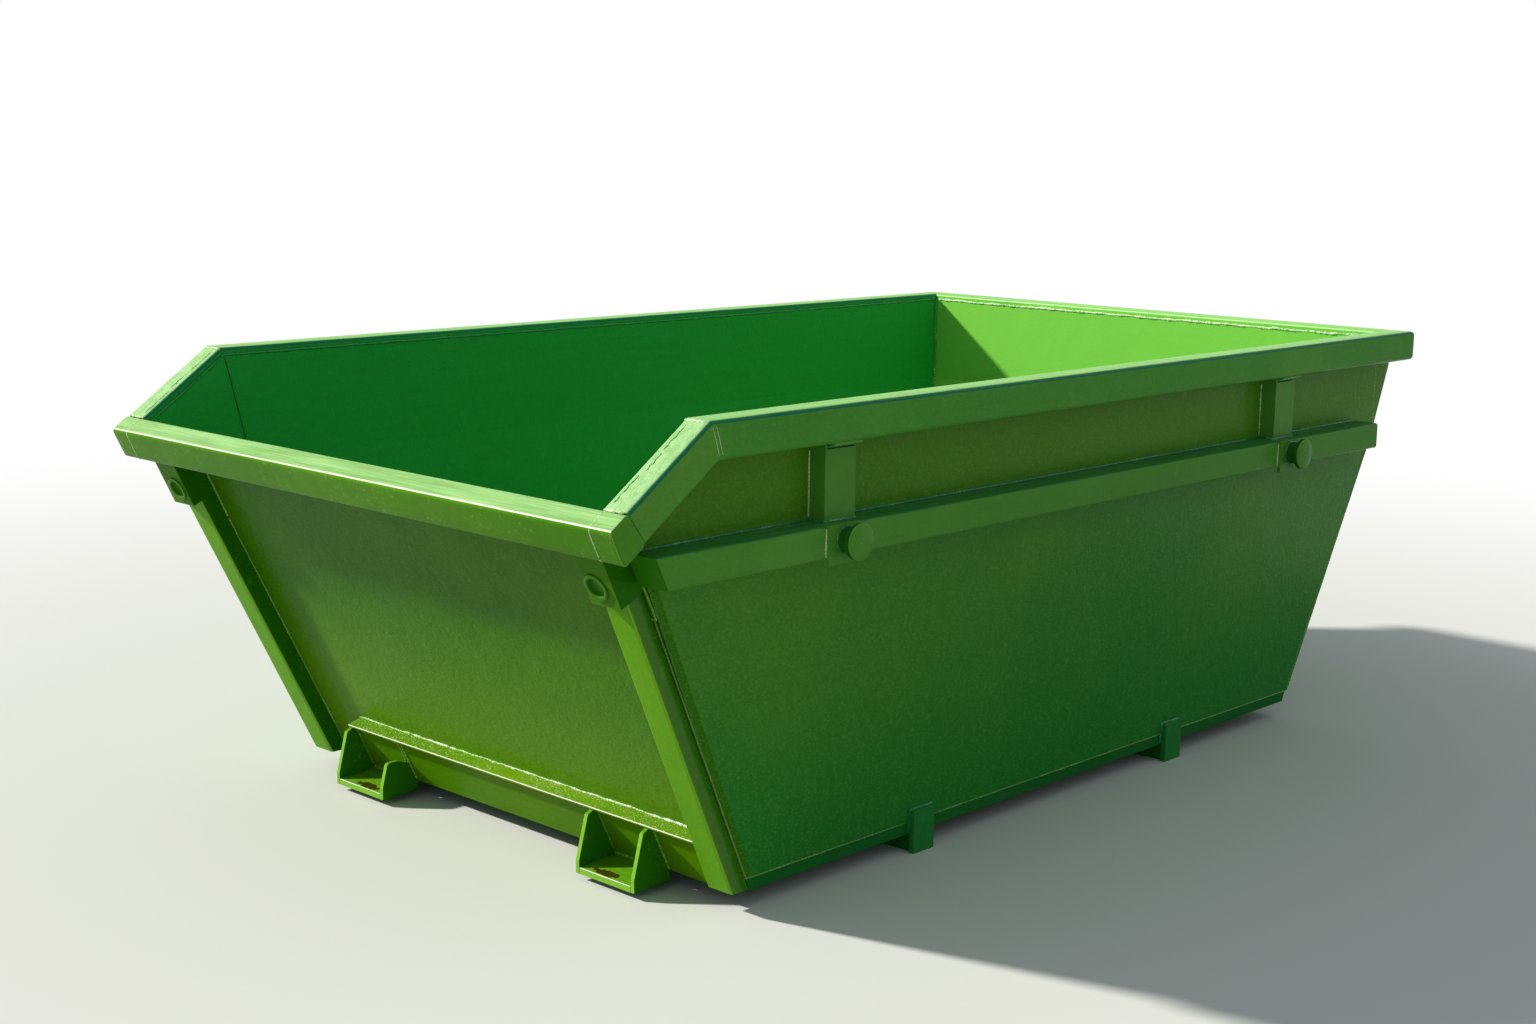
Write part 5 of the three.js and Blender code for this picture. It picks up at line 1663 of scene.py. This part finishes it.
@dataclass
class BeltGear:
    """Belt rails, stiffening posts, pin plates and lifting pins."""

    form: SkipForm = FORM
    top: float = 0.905
    depth: float = 0.075
    reach: float = 0.955
    wall: float = 0.005
    corner: float = 0.008
    front_step: float = 0.018
    rear: float = 1.453
    pins: tuple[float, float] = (-0.975, 0.934)
    pin_height: float = 0.870
    pin_stub: float = 0.020
    pin_shaft: float = 0.031
    pin_head: float = 0.0425
    pin_neck: float = 0.0103
    pin_shoulder: float = 0.0413
    pin_face: float = 0.0533
    plate: float = 0.010
    plate_off: float = 0.0012
    plate_span: tuple[float, float] = (-0.057, 0.046)
    plate_heights: tuple[float, float] = (0.817, 0.907)
    post_span: tuple[float, float] = (-0.025, 0.077)
    post_reach: float = 0.048
    post_top: float = 1.062
    slot_height: float = 1.0722
    slot_sink: float = 0.0062
    foot_off: float = 0.0006
    ring_points: int = 60

    def build(self, shop: Workshop) -> None:
        """Makes the rails and pins, paints the plates and caps, and lays the beads.

        Args:
            shop: What the sub-assemblies share.
        """
        for side in Side:
            self._belt(shop, side)
            for end, y in zip(("front", "rear"), self.pins):
                self._pin(shop, side, f"{end}_{side.label}", y)
        for name in sorted(shop.nodes):
            # Gusset caps take a painted highlight on their edge, and belt caps painted shade.
            if name.startswith("gusset_cap"):
                shop.coat("shelf", name, bevel=0.0012)
            elif name.startswith(("gusset", "lift_plate")):
                shop.coat("fitting", name, bevel=0.0012)
            elif name.startswith("belt_cap"):
                shop.coat("cap", name, bevel=0.0012)
        self._welds(shop)

    def _belt(self, shop: Workshop, side: Side) -> None:
        """One belt rail, cut along the front wall's slope at its front end.

        Args:
            shop: What the sub-assemblies share.
            side: The side.
        """
        form = self.form
        x0, x1 = mirrored(side, form.rail_inner, self.reach)
        tilt = np.array([0.0, math.cos(form.front_tilt), math.sin(form.front_tilt)])
        front = np.array([0.0, form.front_y(form.wall_set_back - self.front_step, 0.0), 0.0])
        run = Run(np.zeros(3), Z, X, box_corners((self.top - self.depth, x0), (self.top, x1)), self.corner,
                  self.wall, (tilt, front), (Y, Y * self.rear))
        shop.run(f"belt_rail_{side.label}", run, "belt")

    def _pin(self, shop: Workshop, side: Side, place: str, y: float) -> None:
        """One lifting pin with its head, turned with small round edges.

        Args:
            shop: What the sub-assemblies share.
            side: The side.
            place: End and side, as the node's name spells them.
            y: Y of the pin's axis.
        """
        stub, shaft, rim = self.pin_stub, self.pin_shaft, self.pin_head
        neck, head, face = self.pin_neck, self.pin_shoulder, self.pin_face
        profile = [(POLE_RADIUS, 0.0), (stub - 0.001, 0.0), (stub, 0.001), (stub, neck),
                   (shaft - 0.0008, neck), (shaft, neck + 0.001), (shaft, head - 0.001),
                   (shaft + 0.0006, head), (rim - 0.002, head), (rim - 0.0007, head + 0.0005),
                   (rim, head + 0.0018), (rim, face - 0.0022), (rim - 0.0005, face - 0.0008),
                   (rim - 0.002, face), (0.0150, face - 0.0003), (0.0032, face),
                   (POLE_RADIUS, face - 0.0025)]
        origin = np.array([side.value * (self.reach + self.form.gap), y, self.pin_height])
        name = f"lift_pin_{place}"
        make_piece(f"{name}_turned", turned(profile, origin, X * side.value), shop.paints["pin"],
                   [name], sharp=30.0)

    def _welds(self, shop: Workshop) -> None:
        """Beads along the belt, round the pin plates and pins, and at the stiffening posts, with a bar of
        painted shade in each post's slot.

        Args:
            shop: What the sub-assemblies share.
        """
        form = self.form
        teal, bright, slots = [], [], []
        for side in Side:
            lean = side.value * (form.rail_inner + OFF / 2)
            for z, radius in ((self.top, Gauge.FULL), (self.top - self.depth, Gauge.LOWER)):
                start = form.front_y(form.wall_set_back, z) + 2 * STOP
                teal.append(Bead([(lean, start, z), (lean, self.rear, z)], radius))
            for y in self.pins:
                bright.append(self._plate_front(side, y))
                teal.extend(self._round_pin(side, y))
                bright.append(self._post_edge(side, y + self.post_span[0] - OFF, Gauge.FINE))
                teal.append(self._post_edge(side, y + self.post_span[1] + OFF, Gauge.SHADED))
                slots.append(self._slot(side, y))
                teal.append(self._post_foot(side, y))
        # The teal beads are painted sky reflection on welds in shade.
        shop.weld("belt_welds", teal, "teal", Slot.RAIL)
        shop.weld("belt_bright_welds", bright, "bright", Slot.FITTING)
        # Painted shade: dark green bars in the slots, in place of the shaded inside of the posts.
        shop.weld("belt_slot_shade_fill", slots, "lap", Slot.FITTING)

    def _plate_front(self, side: Side, y: float) -> Bead:
        """The bead down the front edge of the pin plate at y.

        Args:
            side: The side.
            y: Y of the pin's axis.

        Returns:
            The bead.
        """
        x, front = side.value * (self.reach + self.plate_off), y + self.plate_span[0] - OFF / 2
        low, high = self.plate_heights
        return Bead([(x, front, low + 8 * STOP), (x, front, high - 3 * STOP)], Gauge.FINE, rough=0.2)

    def _round_pin(self, side: Side, y: float) -> list[Bead]:
        """The beads at the rear edge of the pin plate at y and round its pin.

        Args:
            side: The side.
            y: Y of the pin's axis.

        Returns:
            The edge's bead and the ring.
        """
        x, rear = side.value * (self.reach + self.plate_off), y + self.plate_span[1]
        low, high = self.plate_heights
        angle, radius = np.linspace(0.0, 2 * np.pi, self.ring_points), self.pin_shaft + OFF / 2
        face = side.value * (self.reach + self.plate + OFF)
        ring = np.stack([np.full(self.ring_points, face), y + radius * np.cos(angle),
                         self.pin_height + radius * np.sin(angle)], axis=1)
        edge = [(x, rear, high - 2 * STOP), (x, rear, low + 7 * STOP)]
        return [Bead(edge, Gauge.SHADED), Bead(ring, Gauge.THIN)]

    def _post_edge(self, side: Side, y: float, radius: Gauge) -> Bead:
        """The bead up the side sheet at one edge of a stiffening post."""
        x = self._sheet_x(side)
        return Bead([(x, y, self.top + 3 * STOP), (x, y, self.post_top)], radius)

    def _slot(self, side: Side, y: float) -> Bead:
        """The bar that fills the slot over the cap of the stiffening post at y: painted shade, a dark green
        for the shaded inside of the post.

        Args:
            side: The side.
            y: Y of the pin's axis.

        Returns:
            The bead.
        """
        x = side.value * (self.form.rail_inner + self.post_reach - self.slot_sink)
        front, rear = y + self.post_span[0] + 4 * STOP, y + self.post_span[1] - OFF
        return Bead([(x, front, self.slot_height), (x, rear, self.slot_height)], Gauge.WIDE,
                    rough=0.05, ripple=0.02)

    def _post_foot(self, side: Side, y: float) -> Bead:
        """The bead round the foot of the stiffening post at y, on the belt.

        Args:
            side: The side.
            y: Y of the pin's axis.

        Returns:
            The bead.
        """
        wall, face = self._sheet_x(side), side.value * (self.form.rail_inner + self.post_reach)
        front, rear = (y + place for place in self.post_span)
        foot = self.top + self.foot_off
        return Bead([(wall, front - OFF, foot), (face, front - OFF, foot),
                     (face + side.value * OFF, rear, foot), (wall, rear + OFF, foot)], Gauge.LOWER)

    def _sheet_x(self, side: Side) -> float:
        """X of a bead's middle on the upper, upright part of a side sheet."""
        return side.value * (self.form.side_x(self.form.height) + OFF)


@dataclass
class FrontGear:
    """Corner posts, brackets with their sockets, tipping bar, beam and hook pockets."""

    form: SkipForm = FORM
    bracket_depth: float = 0.074
    bracket_span: tuple[float, float] = (0.765, 0.855)
    bracket_heights: tuple[float, float] = (0.745, 0.90)
    socket_x: float = 0.803
    socket_z: float = 0.824
    socket_ring: float = 0.033
    socket_back: float = 0.028
    socket_bore: float = 0.0235
    socket_proud: float = 0.0043
    socket_bottom: float = -0.0057
    post_heights: tuple[float, float] = (0.0585, 0.768)
    post_inner: tuple[float, float] = (0.7315, 0.767)
    post_bead: tuple[float, float] = (0.075, 0.74)
    post_off: float = 0.0012
    post_seams: tuple[float, float] = (0.0816, 0.0846)
    post_seam: tuple[float, float] = (0.08, 0.74)
    bar_span: tuple[float, float] = (-0.583, 0.735)
    bar_top: float = 0.1850
    beam_set_back: float = 0.0675
    pocket_edges: tuple[float, ...] = (0.379, 0.391, 0.570, 0.582)
    pocket_plates: tuple[float, float] = (0.385, 0.576)
    pocket_heights: tuple[float, ...] = (0.05, 0.11, 0.165)
    pocket_top: float = 0.164
    pocket_top_half: float = 0.007
    pocket_top_set_back: float = 0.060
    pocket_floor: tuple[float, float] = (0.392, 0.569)
    pocket_floor_rear: float = 0.0425
    arris: tuple[float, float] = (0.3915, 0.5695)
    arris_at: tuple[float, float] = (-1.2536, 0.0318)

    def build(self, shop: Workshop) -> None:
        """Paints the nodes, turns the sockets and lays the beads.

        Args:
            shop: What the sub-assemblies share.
        """
        shop.coat("post", "corner_post_near", "corner_post_far", bevel=0.001)
        shop.coat("bracket", "front_bracket_near", "front_bracket_far", bevel=0.0015)
        shop.coat("bar", "tipping_bar", bevel=0.0020)
        shop.coat("beam", "front_beam", bevel=0.001)
        pockets = [name for name in sorted(shop.nodes) if name.startswith("pocket")]
        shop.coat("pocket", *pockets, bevel=0.0012)
        for side in Side:
            self._socket(shop, side)
        self._welds(shop)

    def _socket(self, shop: Workshop, side: Side) -> None:
        """One blind socket with a round edge to its ring.

        Args:
            shop: What the sub-assemblies share.
            side: The side.
        """
        form = self.form
        gap, ring, back, bore = form.gap, self.socket_ring, self.socket_back, self.socket_bore
        front = form.wall_set_back - gap - self.bracket_depth
        centre = np.array([side.value * self.socket_x, form.front_y(front, self.socket_z), self.socket_z])
        axis = -np.array([0.0, math.cos(form.front_tilt), math.sin(form.front_tilt)])
        proud, bottom = self.socket_proud, self.socket_bottom
        profile = [(POLE_RADIUS, bottom - 0.005), (back, bottom - 0.005), (back, gap), (ring, gap),
                   (ring, proud - 0.0015), (ring - 0.0005, proud - 0.0004), (ring - 0.0015, proud),
                   (bore + 0.0015, proud), (bore + 0.0005, proud - 0.0004), (bore, proud - 0.0012),
                   (bore, bottom + 0.001), (bore - 0.001, bottom), (POLE_RADIUS, bottom)]
        name = f"bracket_socket_{side.label}"
        make_piece(f"{name}_turned", turned(profile, centre, axis), shop.paints["socket"],
                   [name], sharp=35.0)

    def _post_edge(self, side: Side, across: float, z: float) -> tuple[float, float, float]:
        """A point of the front wall beside a corner post or under it.

        Args:
            side: The side.
            across: Distance outwards from the post's inner edge.
            z: Height above the ground.

        Returns:
            The point.
        """
        low, high = self.post_heights
        low_x, high_x = self.post_inner
        inner = high_x + (low_x - high_x) * (high - z) / (high - low)
        return side.value * (inner + across), self._wall_y(z), z

    def _wall_y(self, z: float) -> float:
        """Y of a bead's middle on the front wall, at height z."""
        return self.form.front_y(self.form.wall_set_back - OFF, z)

    def _welds(self, shop: Workshop) -> None:
        """Beads along the posts, round the brackets, and at bar, beam and pockets, and a painted highlight
        along each pocket floor's arris.

        Args:
            shop: What the sub-assemblies share.
        """
        form = self.form
        lit, rough, fine, crisp = [], [], [], []
        for side in Side:
            lit.append(Bead([self._post_edge(side, -self.post_off, z) for z in self.post_bead], Gauge.SEAM))
            for across in self.post_seams:
                fine.append(Bead([self._post_edge(side, across, z) for z in self.post_seam], Gauge.LINE,
                                 rough=0.04, ripple=0.04))
            lit.append(self._round_bracket(side))
        bar = [(x, self._wall_y(self.bar_top), self.bar_top) for x in self.bar_span]
        rough.append(Bead(bar, Gauge.PLAIN, rough=0.4, ripple=0.2))
        for side in Side:
            for x in self.pocket_edges:
                lit.append(Bead([(side.value * x, form.front_y(self.beam_set_back, z), z)
                                 for z in self.pocket_heights], Gauge.SEAM))
            z = self.pocket_floor_rear
            lit.append(Bead([(side.value * x, form.front_y(self.beam_set_back - OFF, z), z)
                             for x in self.pocket_floor], Gauge.FOOT))
            # Painted highlight: a thin white line along the arris of the pocket's floor.
            arris = [(side.value * x, *self.arris_at) for x in self.arris]
            crisp.append(Bead(arris, Gauge.ARRIS, rough=0.04))
            rough.extend(self._pocket_tops(side))
        shop.weld("front_welds", lit, "front", Slot.PLATE)
        shop.weld("bar_weld", rough, "fleck", Slot.PLATE)
        shop.weld("pocket_arris_highlight", crisp, "white", Slot.PLATE)
        shop.weld("post_seams", fine, "pair", Slot.PLATE)

    def _round_bracket(self, side: Side) -> Bead:
        """The bead on the front wall down, under and up a bracket.

        Args:
            side: The side.

        Returns:
            The bead.
        """
        inner, outer = self.bracket_span
        low, high = self.bracket_heights
        corners = ((inner - OFF, high), (inner - OFF, low), (outer + OFF, low), (outer + OFF, high))
        return Bead([(side.value * x, self._wall_y(z), z) for x, z in corners], Gauge.FULL)

    def _pocket_tops(self, side: Side) -> list[Bead]:
        """The short beads between a pocket's side plates and the underside of the tipping bar.

        Args:
            side: The side.

        Returns:
            One bead for each side plate.
        """
        z, half = self.pocket_top, self.pocket_top_half
        y = self.form.front_y(self.pocket_top_set_back, z)
        return [Bead([(side.value * x + shift, y, z) for shift in (-half, half)], Gauge.FULL, rough=0.4)
                for x in self.pocket_plates]


@dataclass
class Feet:
    """Upright plates at the ends of the foot bearers."""

    form: SkipForm = FORM
    places: tuple[float, float] = (-0.502, 0.613)
    width: float = 0.078
    top: float = 0.110
    bead_low: float = 0.050

    def build(self, shop: Workshop) -> None:
        """Paints the plates and lays a bead round each on the side sheet.

        Args:
            shop: What the sub-assemblies share.
        """
        beads = []
        reach = self.width / 2 + STOP
        for end, y in zip(("front", "rear"), self.places):
            for side in Side:
                shop.coat("fitting", f"foot_plate_{end}_{side.label}", bevel=0.0015)
                low = (side.value * (self.form.side_x(self.bead_low) + OFF), self.bead_low)
                high = (side.value * (self.form.side_x(self.top) + 1.5 * OFF), self.top + OFF)
                path = [(x, y + shift, z) for (x, z), shift in
                        ((low, -reach), (high, -reach), (high, reach), (low, reach))]
                beads.append(Bead(path, Gauge.WIDE, rough=0.2))
        # The teal beads are painted sky reflection on welds in shade.
        shop.weld("foot_welds", beads, "teal", Slot.FITTING)


def main() -> None:
    """Loads the frame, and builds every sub-assembly."""
    logging.basicConfig(level=logging.INFO, format="%(name)s: %(message)s")
    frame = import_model()
    cad_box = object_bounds()
    shop = Workshop(frame["nodes"], cad_box)
    shop.mix()
    for part in (Shell(), Rim(), BeltGear(), FrontGear(), Feet()):
        log.info("building %s", type(part).__name__)
        part.build(shop)
    Studio().build()


if __name__ == "__main__":
    main()
